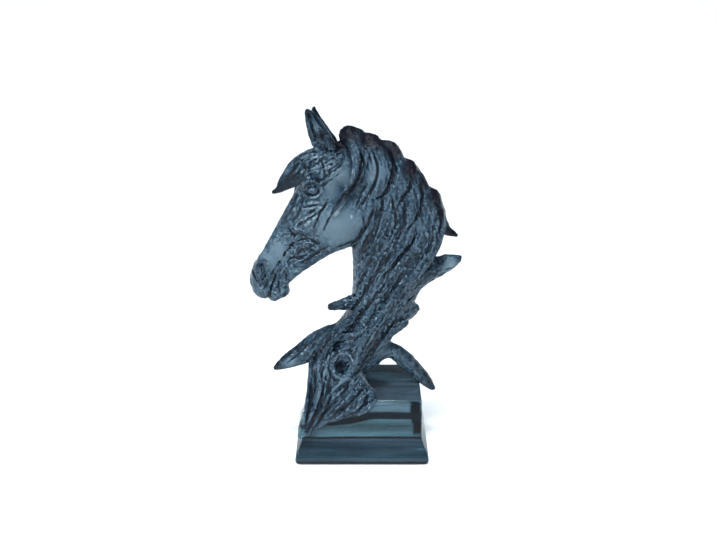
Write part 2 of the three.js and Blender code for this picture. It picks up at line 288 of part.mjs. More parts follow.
// ---- surface of the field: each grid cube split into six tetrahedra ----------
function surface(field) {
  const [nx, ny, nz] = field.n, { value, cell, lo } = field;
  const pos = [], tri = [], vertexOf = new Map();
  const step = (m) => ((m & 1) * ny + ((m >> 1) & 1)) * nz + ((m >> 2) & 1);
  const paths = [[1, 2, 4], [2, 4, 1], [4, 1, 2], [2, 1, 4], [1, 4, 2], [4, 2, 1]];
  const tets = paths.map(([a, b]) => [0, a, a | b, 7]);
  const onEdge = (base, m0, m1, ix, iy, iz) => {
    const [a, b] = m0 < m1 ? [m0, m1] : [m1, m0];
    const start = base + step(a), key = start * 8 + (b - a);
    let v = vertexOf.get(key);
    if (v === undefined) {
      const fa = value[start], fb = value[base + step(b)];
      const t = Math.min(0.88, Math.max(0.12, fa / (fa - fb)));
      v = pos.length / 3;
      const at = (shift, i) => i + ((a >> shift) & 1) + t * (((b >> shift) & 1) - ((a >> shift) & 1));
      pos.push(lo[0] + cell * at(0, ix), lo[1] + cell * at(1, iy), lo[2] + cell * at(2, iz));
      vertexOf.set(key, v);
    }
    return v;
  };
  const facet = (p, q, r, ox, oy, oz) => {
    const [ax, ay, az] = [pos[3 * q] - pos[3 * p], pos[3 * q + 1] - pos[3 * p + 1], pos[3 * q + 2] - pos[3 * p + 2]];
    const [bx, by, bz] = [pos[3 * r] - pos[3 * p], pos[3 * r + 1] - pos[3 * p + 1], pos[3 * r + 2] - pos[3 * p + 2]];
    const out = (ay * bz - az * by) * ox + (az * bx - ax * bz) * oy + (ax * by - ay * bx) * oz;
    if (out > 0) tri.push(p, q, r); else tri.push(p, r, q);
  };
  for (let ix = 0; ix + 1 < nx; ix++) for (let iy = 0; iy + 1 < ny; iy++) for (let iz = 0; iz + 1 < nz; iz++) {
    const base = (ix * ny + iy) * nz + iz;
    let inside = 0;
    for (let m = 0; m < 8; m++) if (value[base + step(m)] < 0) inside++;
    if (inside === 0 || inside === 8) continue;
    for (const tet of tets) {
      const solid = [], open = [];
      for (const m of tet) (value[base + step(m)] < 0 ? solid : open).push(m);
      if (!solid.length || !open.length) continue;
      const mean = (set, s) => set.reduce((t, m) => t + ((m >> s) & 1), 0) / set.length;
      const [ox, oy, oz] = [0, 1, 2].map((s) => mean(open, s) - mean(solid, s));
      const e = (m0, m1) => onEdge(base, m0, m1, ix, iy, iz);
      if (solid.length === 1) facet(e(solid[0], open[0]), e(solid[0], open[1]), e(solid[0], open[2]), ox, oy, oz);
      else if (open.length === 1) facet(e(open[0], solid[0]), e(open[0], solid[1]), e(open[0], solid[2]), ox, oy, oz);
      else {
        const q = [e(solid[0], open[0]), e(solid[0], open[1]), e(solid[1], open[1]), e(solid[1], open[0])];
        facet(q[0], q[1], q[2], ox, oy, oz);
        facet(q[0], q[2], q[3], ox, oy, oz);
      }
    }
  }
  return largestShell({ pos: Float64Array.from(pos), tri: Int32Array.from(tri) });
}

// keep the one outer shell; specks and closed pockets are dropped
function largestShell({ pos, tri }) {
  const parent = Int32Array.from({ length: pos.length / 3 }, (_, i) => i);
  const root = (v) => { while (parent[v] !== v) { parent[v] = parent[parent[v]]; v = parent[v]; } return v; };
  for (let t = 0; t < tri.length; t += 3) {
    parent[root(tri[t])] = root(tri[t + 1]);
    parent[root(tri[t + 1])] = root(tri[t + 2]);
  }
  const size = new Map();
  for (let t = 0; t < tri.length; t += 3) { const r = root(tri[t]); size.set(r, (size.get(r) || 0) + 1); }
  const keep = [...size.entries()].sort((a, b) => b[1] - a[1])[0][0];
  return compact({ pos, tri: tri.filter((_, i) => root(tri[i - i % 3]) === keep) });
}

function compact({ pos, tri }) {
  const id = new Map(), out = [];
  const newTri = Int32Array.from(tri, (v) => {
    if (!id.has(v)) { id.set(v, out.length / 3); out.push(pos[3 * v], pos[3 * v + 1], pos[3 * v + 2]); }
    return id.get(v);
  });
  return { pos: Float64Array.from(out), tri: newTri };
}

// ---- fewer, well shaped facets: edges are closed up where it changes least ----
class Heap {
  constructor() { this.key = []; this.item = []; }
  push(key, item) {
    const { key: K, item: I } = this;
    let i = K.length;
    K.push(key); I.push(item);
    while (i > 0) {
      const p = (i - 1) >> 1;
      if (K[p] <= key) break;
      K[i] = K[p]; I[i] = I[p]; i = p;
    }
    K[i] = key; I[i] = item;
  }
  pop() {
    const { key: K, item: I } = this, top = I[0], key = K.pop(), item = I.pop();
    if (K.length) {
      let i = 0;
      for (;;) {
        let c = 2 * i + 1;
        if (c >= K.length) break;
        if (c + 1 < K.length && K[c + 1] < K[c]) c++;
        if (K[c] >= key) break;
        K[i] = K[c]; I[i] = I[c]; i = c;
      }
      K[i] = key; I[i] = item;
    }
    return top;
  }
  get size() { return this.key.length; }
}

function thin(mesh, { target = 0, limit = Infinity, ends = false, shortest = Infinity, height = 0.25, even = 2e-3 }) {
  const pos = Float64Array.from(mesh.pos), tri = Int32Array.from(mesh.tri);
  const nv = pos.length / 3, nt = tri.length / 3;
  const around = Array.from({ length: nv }, () => []);
  for (let t = 0; t < nt; t++) for (let c = 0; c < 3; c++) around[tri[3 * t + c]].push(t);
  const live = new Uint8Array(nt).fill(1), stamp = new Int32Array(nv);
  const Q = new Float64Array(nv * 10);
  const normal = (a, b, c) => {
    const ux = b[0] - a[0], uy = b[1] - a[1], uz = b[2] - a[2], vx = c[0] - a[0], vy = c[1] - a[1], vz = c[2] - a[2];
    return [uy * vz - uz * vy, uz * vx - ux * vz, ux * vy - uy * vx];
  };
  const at = (v) => [pos[3 * v], pos[3 * v + 1], pos[3 * v + 2]];
  for (let t = 0; t < nt; t++) {
    const [a, b, c] = [tri[3 * t], tri[3 * t + 1], tri[3 * t + 2]], pa = at(a);
    const n = normal(pa, at(b), at(c)), len = Math.hypot(...n);
    if (len < 1e-12) continue;
    const [x, y, z] = n.map((v) => v / len), d = -(x * pa[0] + y * pa[1] + z * pa[2]), w = len / 2;
    const q = [x * x, x * y, x * z, x * d, y * y, y * z, y * d, z * z, z * d, d * d];
    for (const v of [a, b, c]) for (let i = 0; i < 10; i++) Q[10 * v + i] += w * q[i];
  }
  const error = (q, p) => {
    const [x, y, z] = p;
    return q[0] * x * x + 2 * q[1] * x * y + 2 * q[2] * x * z + 2 * q[3] * x + q[4] * y * y + 2 * q[5] * y * z + 2 * q[6] * y + q[7] * z * z + 2 * q[8] * z + q[9];
  };
  const meet = (a, b) => {
    const q = new Array(10);
    for (let i = 0; i < 10; i++) q[i] = Q[10 * a + i] + Q[10 * b + i];
    const pa = at(a), pb = at(b), len2 = (pa[0] - pb[0]) ** 2 + (pa[1] - pb[1]) ** 2 + (pa[2] - pb[2]) ** 2;
    const options = [pa, pb];
    if (!ends) {
      const mid = pa.map((v, i) => (v + pb[i]) / 2);
      options.push(mid);
      const det = q[0] * (q[4] * q[7] - q[5] * q[5]) - q[1] * (q[1] * q[7] - q[5] * q[2]) + q[2] * (q[1] * q[5] - q[4] * q[2]);
      const size = q[0] + q[4] + q[7];
      if (Math.abs(det) > 1e-4 * size * size * size) {
        const r = [-q[3], -q[6], -q[8]];
        const best = [
          (r[0] * (q[4] * q[7] - q[5] * q[5]) - q[1] * (r[1] * q[7] - q[5] * r[2]) + q[2] * (r[1] * q[5] - q[4] * r[2])) / det,
          (q[0] * (r[1] * q[7] - q[5] * r[2]) - r[0] * (q[1] * q[7] - q[5] * q[2]) + q[2] * (q[1] * r[2] - r[1] * q[2])) / det,
          (q[0] * (q[4] * r[2] - r[1] * q[5]) - q[1] * (q[1] * r[2] - r[1] * q[2]) + r[0] * (q[1] * q[5] - q[4] * q[2])) / det,
        ];
        if (Math.hypot(...best.map((v, i) => v - mid[i])) < 1.2 * Math.sqrt(len2) + 0.2) options.push(best);
      }
    }
    let pick = null, least = Infinity;
    for (const p of options) { const e = error(q, p); if (e < least) { least = e; pick = p; } }
    return [Math.max(least, 0) + even * len2, pick, Math.sqrt(len2)];
  };
  const heap = new Heap();
  const offer = (a, b) => {
    const [cost, , len] = meet(a, b);
    if (cost < limit && len < shortest) heap.push(cost, [a, b, stamp[a], stamp[b]]);
  };
  const ring = (v) => {
    const s = new Set();
    for (const t of around[v]) for (let c = 0; c < 3; c++) if (tri[3 * t + c] !== v) s.add(tri[3 * t + c]);
    return s;
  };
  for (let t = 0; t < nt; t++) for (let c = 0; c < 3; c++) {
    const a = tri[3 * t + c], b = tri[3 * t + (c + 1) % 3];
    if (a < b) offer(a, b);
  }
  let left = nt;
  while (heap.size && left > target) {
    const [a, b, sa, sb] = heap.pop();
    if (stamp[a] !== sa || stamp[b] !== sb || !around[a].length || !around[b].length) continue;
    const ra = ring(a), rb = ring(b);
    let shared = 0;
    for (const v of ra) if (rb.has(v)) shared++;
    if (shared !== 2 || ra.size + rb.size < 8) continue;
    const [, p] = meet(a, b);
    let fits = true;
    for (const v of [a, b]) {
      for (const t of around[v]) {
        const c = [tri[3 * t], tri[3 * t + 1], tri[3 * t + 2]];
        if (c.includes(a) && c.includes(b)) continue;
        const before = c.map(at), after = c.map((w, i) => (w === v ? p : before[i]));
        const n0 = normal(...before), n1 = normal(...after), l0 = Math.hypot(...n0), l1 = Math.hypot(...n1);
        const side = Math.max(...[0, 1, 2].map((i) => Math.hypot(...after[i].map((x, k) => x - after[(i + 1) % 3][k]))));
        const high = l1 / side;
        const wasHigh = l0 / Math.max(...[0, 1, 2].map((i) => Math.hypot(...before[i].map((x, k) => x - before[(i + 1) % 3][k]))));
        if (high < height && high < wasHigh * 0.999) { fits = false; break; }
        if (l0 > 1e-9 && (n0[0] * n1[0] + n0[1] * n1[1] + n0[2] * n1[2]) < 0.3 * l0 * l1) { fits = false; break; }
      }
      if (!fits) break;
    }
    if (!fits) continue;
    for (let i = 0; i < 3; i++) pos[3 * a + i] = p[i];
    for (let i = 0; i < 10; i++) Q[10 * a + i] += Q[10 * b + i];
    const keep = [];
    for (const t of around[b]) {
      const c = [tri[3 * t], tri[3 * t + 1], tri[3 * t + 2]];
      if (c.includes(a)) {
        live[t] = 0; left--;
        for (const w of c) if (w !== b) around[w] = around[w].filter((s) => s !== t);
      } else {
        for (let i = 0; i < 3; i++) if (tri[3 * t + i] === b) tri[3 * t + i] = a;
        keep.push(t);
      }
    }
    around[b] = [];
    around[a].push(...keep);
    stamp[a]++; stamp[b]++;
    for (const v of ring(a)) { if (a < v) offer(a, v); else offer(v, a); }
  }
  return compact({ pos, tri: tri.filter((_, i) => live[(i - i % 3) / 3]) });
}

// ---- one casting ----------------------------------------------------------
const manifold = await Module();
manifold.setup();

function solid({ pos, tri }) {
  return new manifold.Manifold(new manifold.Mesh({
    numProp: 3, vertProperties: Float32Array.from(pos), triVerts: Uint32Array.from(tri),
  }));
}

const plinth = loft(PROFILE.map(([x, y, z]) => roundedRing(x, y, z)));
// the block's top left edge is cut back, and the roots wrap over it
const back = [[-BLOCK_X, WRAP_FROM], [-BLOCK_X / 2 + 0.01, WRAP_FROM], [-WRAP_X, WRAP_FROM + 12], [-WRAP_X, PLINTH_H + 2], [-BLOCK_X, PLINTH_H + 2]];
const wedge = loft([BLOCK_Y, -BLOCK_Y].map((y) => back.map(([x, z]) => [x, y, z])));
const carved = thin(surface(carvedForm()), { target: TRIANGLES });
const joined = solid(plinth).subtract(solid(wedge)).add(solid(carved)).getMesh();
const casting = thin(
  largestShell({ pos: Float64Array.from(joined.vertProperties), tri: Int32Array.from(joined.triVerts) }),
  { ends: true, shortest: 0.5, limit: 0.02, even: 0, height: 0.1 },
);

const geometry = new THREE.BufferGeometry();
geometry.setAttribute("position", new THREE.BufferAttribute(Float32Array.from(casting.pos), 3));
geometry.setIndex(Array.from(casting.tri));
geometry.computeVertexNormals();
const sculpture = new THREE.Mesh(geometry, new THREE.MeshStandardMaterial({ color: 0x4d6a7c, roughness: 0.12, metalness: 0 }));
sculpture.name = "horse_head_sculpture";

const group = new THREE.Group();
group.name = "horse_head_sculpture_set";
group.add(sculpture);
export default group;
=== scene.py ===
import math

import bpy
import numpy as np
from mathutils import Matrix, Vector


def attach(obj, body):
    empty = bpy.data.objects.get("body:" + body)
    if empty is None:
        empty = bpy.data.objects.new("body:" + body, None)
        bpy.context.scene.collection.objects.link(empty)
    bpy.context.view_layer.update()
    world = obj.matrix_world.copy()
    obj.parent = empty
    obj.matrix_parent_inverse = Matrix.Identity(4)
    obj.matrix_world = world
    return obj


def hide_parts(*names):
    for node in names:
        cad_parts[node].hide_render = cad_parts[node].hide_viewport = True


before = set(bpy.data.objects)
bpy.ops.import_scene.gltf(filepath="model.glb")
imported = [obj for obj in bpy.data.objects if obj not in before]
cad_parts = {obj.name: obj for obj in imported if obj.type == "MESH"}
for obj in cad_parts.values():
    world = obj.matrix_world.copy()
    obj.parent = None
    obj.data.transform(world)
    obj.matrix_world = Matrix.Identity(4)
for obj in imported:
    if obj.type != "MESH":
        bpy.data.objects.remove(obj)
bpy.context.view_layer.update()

# Cast translucent horse head on a plinth. The form is worked out as a distance
# field in millimetres, meshed finely, joined to the plinth and scaled to metres.
HEIGHT, PLINTH_H = 300.0, 58.0
FOOT_X, BLOCK_X, BLOCK_Y, FLARE_TOP = 114.4, 102.4, 79.0, 23.0
WRAP_X, WRAP_FROM = 47.0, 30.0
CORNER_R, CORNER_STEPS = 3.0, 8
CAST_BASE = 14.0
CELL = 0.75
FLARE = (FOOT_X - BLOCK_X) / 2
PROFILE = [(FLARE - 2.6, 0), (FLARE - 1.2, 0.6), (FLARE - 0.3, 2), (FLARE, 4), (FLARE - 0.4, 6.5),
           (0.8 * FLARE, 9.5), (0.56 * FLARE, 12.5), (0.33 * FLARE, 15.6), (0.14 * FLARE, 19), (0, FLARE_TOP),
           (-0.6, PLINTH_H - 2), (-1.1, PLINTH_H - 0.7), (-2.2, PLINTH_H)]

# strokes, grooves and strands: stations; lumps and hollows: ovals (see each builder)
FORM = {
    "skull": { "form": "stroke", "blend": 6, "far": None, "at": [[-19.8, 0, 250.7, 14.4, 14], [-30.2, 0, 240.6, 17.8, 16], [-37.8, 0, 219.2, 21, 16.5], [-49.4, 0, 194.9, 22.3, 12.5], [-63.1, 0, 176.8, 19.1, 10], [-74.8, 0, 162.2, 15.9, 9.5], [-79.4, 0, 152.7, 16.1, 10.5]] },
    "jaw_bar": { "form": "stroke", "blend": 5, "far": [0, 0], "at": [[-16.7, -11, 193.1, 6.8, 5], [-36.7, -9, 179.4, 6.8, 5], [-54.6, -7, 165.5, 5.9, 5], [-64.2, -4, 155.5, 5.1, 5]] },
    "neck": { "form": "stroke", "blend": 6, "far": None, "at": [[-10, 0, 255.8, 18.6, 12], [6.5, 0, 237.2, 28.8, 15], [22.4, 0, 208.8, 35.5, 18], [25.7, 0, 178.2, 34.2, 20.5], [20.1, 0, 146.9, 28.4, 22], [11.5, 0, 122.4, 23.3, 24], [0.1, 0, 94.6, 21.5, 26]] },
    "trunk": { "form": "stroke", "blend": 6, "far": None, "at": [[5.2, 0, 113.2, 19.1, 25], [-10.7, -2, 91.7, 21.1, 29], [-16.8, -4, 70, 19.3, 33], [-20.9, -4, 47.2, 19.1, 36], [-22.8, 0, 27.9, 18.6, 36]] },
    "ear_near": { "form": "stroke", "blend": 3, "far": None, "at": [[-25.3, -9, 259.6, 6.8, 6], [-30.5, -10, 270.6, 8.8, 6.5], [-34.9, -11, 279.9, 8.3, 6.2], [-39.7, -12, 290.7, 5.9, 4.6], [-42.8, -12.5, 297.7, 3.2, 2.8], [-43.9, -12.5, 300, 1.6, 1.8]] },
    "ear_far": { "form": "stroke", "blend": 3, "far": None, "at": [[-21.6, 9, 255.3, 6.8, 6], [-27.7, 10, 266, 8.8, 6.5], [-32.2, 10, 275.2, 7.4, 6.2], [-37, 10, 286.1, 5.1, 4.6], [-38.9, 9.5, 293.6, 2.9, 2.6], [-39.4, 9, 297.4, 1.6, 1.8]] },
    "forelock_a": { "form": "stroke", "blend": 3, "far": None, "at": [[-21.3, -2, 264.9, 7.6, 9], [-37.2, -3, 260.3, 8, 9], [-49.6, -5, 256, 7.1, 6], [-59.5, -6, 247.5, 5.2, 4], [-65.9, -7, 240, 3.2, 2.8], [-68.6, -7, 236.5, 1.7, 1.8]] },
    "forelock_b": { "form": "stroke", "blend": 3, "far": None, "at": [[-29.5, -5, 257, 7.6, 6], [-44.1, -8, 251, 7.6, 6], [-55.1, -9, 242.4, 5.9, 5], [-65.6, -9, 235.3, 3.7, 3.4], [-72.4, -9, 231.6, 1.9, 1.8]] },
    "forelock_c": { "form": "stroke", "blend": 3, "far": None, "at": [[-26.5, 6, 256, 7.6, 6], [-41.5, 8, 248.7, 6.8, 6], [-50.8, 9, 236.5, 5.1, 4], [-55.2, 8, 223, 2.5, 2.4]] },
    "crest_lock1": { "form": "stroke", "blend": 2.5, "far": [3, 0], "at": [[-11.9, 0, 277.4, 7.6, 8], [-4.2, -9, 270.4, 7.6, 6], [-2.2, -15, 255.3, 5.9, 4], [-8.3, -19, 238, 4.2, 3], [-18, -20.5, 225, 2.5, 2], [-25.4, -20.5, 216.5, 1.4, 1.2]] },
    "crest_lock2": { "form": "stroke", "blend": 3, "far": [2, 0], "at": [[3.9, 0, 268.7, 10.2, 8], [12, -9, 258.8, 10.2, 6], [13.7, -13, 242.3, 10.2, 5], [7.2, -14.5, 223.3, 7.6, 4], [-1.8, -13.5, 208.5, 3.4, 3]] },
    "crest_lock3": { "form": "stroke", "blend": 3, "far": [-3, 3], "at": [[22.8, 0, 260, 10.2, 8], [28.4, -9, 249.2, 10.2, 6], [28.4, -14, 231.6, 9.3, 5], [22, -15.5, 212.5, 7.6, 4], [13.1, -15, 191.8, 3.4, 3]] },
    "crest_lock4": { "form": "stroke", "blend": 3, "far": [3, 0], "at": [[32.8, 0, 247.5, 10.2, 8], [40, -9, 236.2, 9.3, 6], [40.8, -13.5, 218.8, 8.5, 5], [36.1, -16.5, 199.1, 7.6, 4], [26.4, -17.4, 178.6, 5.9, 3.6], [17.4, -16.4, 159, 3, 2.4]] },
    "crest_lock5": { "form": "stroke", "blend": 3, "far": [-2, 2], "at": [[43.5, 0, 236, 10.2, 8], [51.5, -8, 223.5, 8.5, 6], [51.3, -12.5, 203.9, 8.5, 5], [45.3, -16.5, 185.3, 7.6, 4], [34, -18, 164.8, 5.9, 3.6], [23.4, -17, 144.1, 3, 2.4]] },
    "crest_lock6": { "form": "stroke", "blend": 3, "far": [0, 0], "at": [[55.1, 0, 222.6, 10.2, 8], [61.3, -6, 208.9, 8, 6], [59.6, -11, 192.2, 8, 5], [51.4, -14.5, 175.9, 8, 5], [39.9, -16, 159.7, 5.9, 4], [31.9, -15, 140.7, 3, 3]] },
    "crest_lock7": { "form": "stroke", "blend": 2.5, "far": None, "at": [[60.8, 3, 212.3, 8.5, 8], [65.5, 2, 201.3, 6.8, 6], [70.7, 0, 196.1, 4.7, 4], [75.5, -1, 193.8, 3.2, 3], [78.6, -1, 192.4, 2, 2]] },
    "tip_upper": { "form": "stroke", "blend": 3, "far": None, "at": [[34, 0, 150, 14.4, 16], [51.6, 0, 159, 10.8, 11], [63.4, 0, 164, 9.3, 8], [73.4, 0, 168.3, 7.1, 5.5], [79.6, 0, 170.7, 4.4, 3.6], [82.1, 0, 171.6, 2.4, 2]] },
    "tip_lower": { "form": "stroke", "blend": 3.4, "far": None, "at": [[11.2, 0, 115, 17.4, 22], [27.4, 0, 122, 13.2, 15], [38, 0, 125.8, 9.6, 10], [45.2, 0, 126.6, 4.6, 5]] },
    "twig": { "form": "stroke", "blend": 2, "far": None, "at": [[-1.7, -6, 134.7, 7.1, 8], [-10.2, -8, 134.7, 6.1, 6], [-20.3, -9, 132.7, 4.6, 4.2], [-26.7, -10, 131.5, 3, 3]] },
    "branch_left": { "form": "stroke", "blend": 4, "far": None, "at": [[-14.6, -4, 100.9, 14.2, 15], [-30.9, -6, 97.5, 13.4, 12], [-46.3, -8, 90.5, 10.8, 9], [-59.3, -9, 83.6, 8, 7], [-67.9, -10, 79.2, 5.4, 5], [-74, -10, 75.7, 2.7, 2.6]] },
    "arch": { "form": "stroke", "blend": 3, "far": None, "at": [[-10.3, -14, 73.5, 7.6, 9], [1.7, -12, 81, 7.6, 8.5], [14.6, -8, 88.6, 7.3, 8], [25, -5, 89.6, 7.1, 8], [34.7, -3, 82.4, 7.4, 8], [45.3, -1, 70.8, 7.1, 7], [55.7, 0, 59.1, 5.6, 5.5], [61.8, 0, 52.2, 2.9, 3]] },
    "vine_diagonal": { "form": "stroke", "blend": 2, "far": None, "at": [[20, -22, 129, 4.2, 4], [8.3, -24, 120.8, 5.1, 5], [-0, -27, 105.8, 5.5, 5], [-5.4, -30, 92.5, 5.5, 5], [-11, -34, 79.6, 5.1, 4.6], [-21.9, -36.5, 71.5, 4.7, 4.4], [-29, -38, 61.2, 4.2, 4], [-35, -39.5, 47.9, 3.4, 3.4], [-41.1, -40, 36, 2, 2.4]] },
    "root_corner": { "form": "stroke", "blend": 2.5, "far": None, "at": [[-32.5, -12, 90.3, 7.6, 9], [-37.1, -22, 76.1, 6.8, 9], [-39, -32, 62.1, 5.9, 8], [-43.2, -38, 49.1, 5.5, 5.4], [-49.2, -39.6, 35.3, 4.2, 4.2], [-52.4, -41, 26.2, 2.7, 2.8]] },
    "root_two": { "form": "stroke", "blend": 2.5, "far": None, "at": [[-27.1, -22, 89, 6.8, 7], [-30.5, -30, 74.1, 6.8, 7], [-33.8, -36, 58.4, 5.9, 6], [-39.8, -39.5, 43.3, 5.1, 5], [-45.8, -41.5, 30.2, 3.4, 3.4]] },
    "root_three": { "form": "stroke", "blend": 2.5, "far": None, "at": [[-8.5, -28, 78.8, 6.8, 7], [-11, -34, 66.7, 7.2, 6], [-18.6, -37.5, 55.4, 6.8, 5.5], [-28.8, -39.5, 44.2, 5.1, 4.4], [-37.3, -40.5, 36.3, 2.5, 3]] },
    "root_four": { "form": "stroke", "blend": 2.5, "far": None, "at": [[-6, -24, 72.4, 6.8, 8], [-1.7, -34, 63.9, 6.8, 6], [-5.1, -37.5, 55.4, 6.8, 5], [-12.7, -39, 47.7, 5.5, 4.6], [-20.3, -39.5, 42.3, 2.5, 3]] },
    "root_five": { "form": "stroke", "blend": 2.5, "far": None, "at": [[-3.4, -18, 70.6, 5.1, 8], [2.5, -29, 65.3, 4.6, 6], [9.3, -37, 60.7, 3.9, 4], [5, -38.8, 52.3, 4.2, 3.6], [-2.6, -39.2, 45.9, 2.5, 3]] },
    "skirt_left": { "form": "stroke", "blend": 4, "far": None, "at": [[-36.6, -22, 81.7, 6.8, 10], [-37.3, -33, 62.5, 8, 7], [-42, -38, 44.4, 7.3, 5], [-47.6, -40.5, 30.6, 4.7, 3.6]] },
    "skirt_mid": { "form": "stroke", "blend": 4, "far": None, "at": [[-23.7, -27, 83.9, 10.2, 10], [-23.7, -33, 64.4, 11, 7], [-30.5, -38, 50, 9.3, 4.4], [-39, -39.5, 37.6, 5.1, 2.6]] },
    "skirt_right": { "form": "stroke", "blend": 4, "far": None, "at": [[-10.2, -26, 73.3, 9.3, 9], [-6.8, -34, 63, 9.3, 6], [-11, -37.5, 54.4, 8.5, 4], [-20.3, -39, 46.8, 4.2, 2.4]] },
    "strand_back": { "form": "stroke", "blend": 2, "far": None, "at": [[35.5, -14, 118.7, 4.2, 5], [24.5, -18, 112.1, 4.6, 4.4], [12.7, -20, 102, 4.2, 4], [3.4, -22, 90.9, 3.9, 4], [-3.4, -26, 81.6, 2.5, 3]] },
    "strand_front": { "form": "stroke", "blend": 2, "far": None, "at": [[-8.4, -18, 123.9, 4.2, 4], [-17.7, -22, 116.4, 4.7, 4.6], [-27, -24, 105.4, 4.7, 4.6], [-33.8, -25, 94, 4.2, 4.4], [-36.4, -28, 82.5, 2.5, 3]] },
    "far_root1": { "form": "stroke", "blend": 4, "far": None, "at": [[-26.4, 18, 74.7, 11.8, 12], [-34, 31, 53.6, 9.3, 9], [-39.7, 36.5, 40.2, 7.6, 6], [-43.6, 39, 25.1, 5.1, 4.2]] },
    "far_root2": { "form": "stroke", "blend": 4, "far": None, "at": [[-8.7, 20, 69.1, 11.8, 12], [-9.7, 32, 55.1, 9.3, 9], [-13.4, 36.5, 44.2, 6.8, 6], [-16.2, 38.5, 33.4, 4.2, 4.2]] },
    "far_root3": { "form": "stroke", "blend": 4, "far": None, "at": [[-3.4, 18, 79.5, 10.2, 11], [-0.7, 27, 66, 7.6, 9], [-1.6, 33, 53.7, 5.1, 6]] },
    "cheek": { "form": "lump", "blend": 7, "pair": True, "centre": [-20.8, -8, 207.7], "half": [25, 11.5, 25], "turn": 0 },
    "brow": { "form": "lump", "blend": 5, "pair": True, "centre": [-43.2, -14, 240.9], "half": [7, 6, 5], "turn": -50 },
    "temple": { "form": "lump", "blend": 6, "pair": True, "centre": [-32.7, -8, 251], "half": [9, 8, 9], "turn": 0 },
    "zygoma": { "form": "lump", "blend": 5, "pair": True, "centre": [-41, -14, 223.2], "half": [13, 4.5, 4.5], "turn": 56 },
    "muzzle_side": { "form": "lump", "blend": 5, "pair": True, "centre": [-85.4, -6.5, 161.4], "half": [8, 5.5, 7.5], "turn": 60 },
    "upper_lip": { "form": "lump", "blend": 5, "pair": True, "centre": [-83.6, -3.6, 145], "half": [7.4, 7.6, 7.2], "turn": 35 },
    "lower_lip": { "form": "lump", "blend": 4, "pair": False, "centre": [-74.5, 0, 138.4], "half": [5.6, 7.6, 5.4], "turn": 20 },
    "chin": { "form": "lump", "blend": 5, "pair": False, "centre": [-67.5, 0, 143.3], "half": [6, 8, 6.4], "turn": 30 },
    "fall_one": { "form": "strand", "blend": 1.6, "rise": 2.4, "far": [2, 1], "at": [[48.3, 194.8, 3.4], [38.6, 183.1, 4.6], [27.2, 168.7, 5.1], [17.4, 153, 5.1], [8.3, 135.5, 4.7], [-0.1, 118.6, 3]] },
    "fall_two": { "form": "strand", "blend": 1.6, "rise": 2.6, "far": [-2, 0], "at": [[56, 180.8, 4.2], [44.6, 166.5, 5.1], [32.4, 151.8, 5.4], [21.6, 138.3, 5.1], [10.8, 124.2, 4.6], [-0.1, 107.7, 2.5]] },
    "fall_three": { "form": "strand", "blend": 1.6, "rise": 2.2, "far": [3, 0], "at": [[37.6, 193.5, 2.9], [28.7, 180.9, 4.2], [18.9, 166, 4.7], [8.3, 148.9, 4.6], [-0.9, 133, 3.9], [-9.3, 122.2, 2]] },
    "fall_four": { "form": "strand", "blend": 1.6, "rise": 2, "far": [-1, 3], "at": [[27.7, 205, 2.9], [20.5, 187.3, 4.2], [10.7, 169.7, 4.6], [2.4, 153, 3.9], [-4.2, 139.2, 2]] },
    "fall_five": { "form": "strand", "blend": 1.6, "rise": 1.9, "far": [1, 3], "at": [[17, 215.2, 2.9], [12.2, 196.4, 4.2], [5.7, 177.6, 4.2], [-0.9, 158.9, 3.6], [-4.2, 144.8, 1.9]] },
    "fall_six": { "form": "strand", "blend": 1.6, "rise": 1.6, "far": [1, 2], "at": [[5.5, 230.2, 2.5], [7.2, 213, 3.9], [3.2, 195.4, 3.6], [-2.6, 182, 2]] },
    "column_one": { "form": "strand", "blend": 1.6, "rise": 1.8, "far": None, "at": [[-42.4, 85.4, 3.4], [-43, 72.3, 3.7], [-44.6, 57.2, 3.6], [-48.5, 40.8, 3], [-51.7, 28.7, 2]] },
    "column_two": { "form": "strand", "blend": 1.6, "rise": 1.8, "far": None, "at": [[-34.5, 87.3, 2.9], [-36.2, 72.2, 3.4], [-39.5, 56.2, 3.2], [-44.7, 40.3, 2.2]] },
    "column_three": { "form": "strand", "blend": 1.6, "rise": 1.6, "far": None, "at": [[-27.3, 81.1, 2.5], [-30.2, 66.3, 3], [-35.3, 52, 2.9], [-41.4, 38.6, 1.7]] },
    "swirl_top": { "form": "strand", "blend": 1.6, "rise": 1.8, "far": None, "at": [[-30.2, 104.5, 2.5], [-21.8, 109.7, 3], [-11.8, 109.9, 3.2], [-1.7, 113.5, 2.5]] },
    "swirl_low": { "form": "strand", "blend": 1.6, "rise": 1.8, "far": None, "at": [[-8.4, 72.6, 2.5], [-14.3, 67.7, 3.7], [-20.2, 62.7, 4.6], [-26.1, 55.1, 3.7], [-32, 45.4, 2.2]] },
    "eye_socket": { "form": "hollow", "blend": 2.4, "pair": True, "centre": [-39.9, -21.5, 236.7], "half": [7, 4.2, 4.8], "turn": -15 },
    "nostril": { "form": "hollow", "blend": 1, "pair": True, "centre": [-89.8, -11.2, 161.2], "half": [4.2, 2.8, 1.9], "turn": 68 },
    "knot": { "form": "hollow", "blend": 2, "pair": False, "centre": [-17.3, -36.5, 87.6], "half": [6.4, 7, 6.6], "turn": 20 },
    "upper_lid": { "form": "stroke", "blend": 1.2, "far": [0, 0], "at": [[-47.4, -16.4, 233.9, 1.3, 1.3], [-45, -18, 239.1, 1.9, 1.8], [-39.8, -18.8, 241.4, 2.1, 2], [-34.7, -18.4, 239, 1.7, 1.6], [-32.6, -17.4, 234.6, 1.1, 1.1]] },
    "lower_lid": { "form": "stroke", "blend": 1.2, "far": [0, 0], "at": [[-47.3, -16.4, 232.8, 1.1, 1.1], [-43.5, -17.6, 230.1, 1.4, 1.5], [-38.3, -18, 230.3, 1.4, 1.5], [-33.4, -17.6, 233.8, 1.1, 1.1]] },
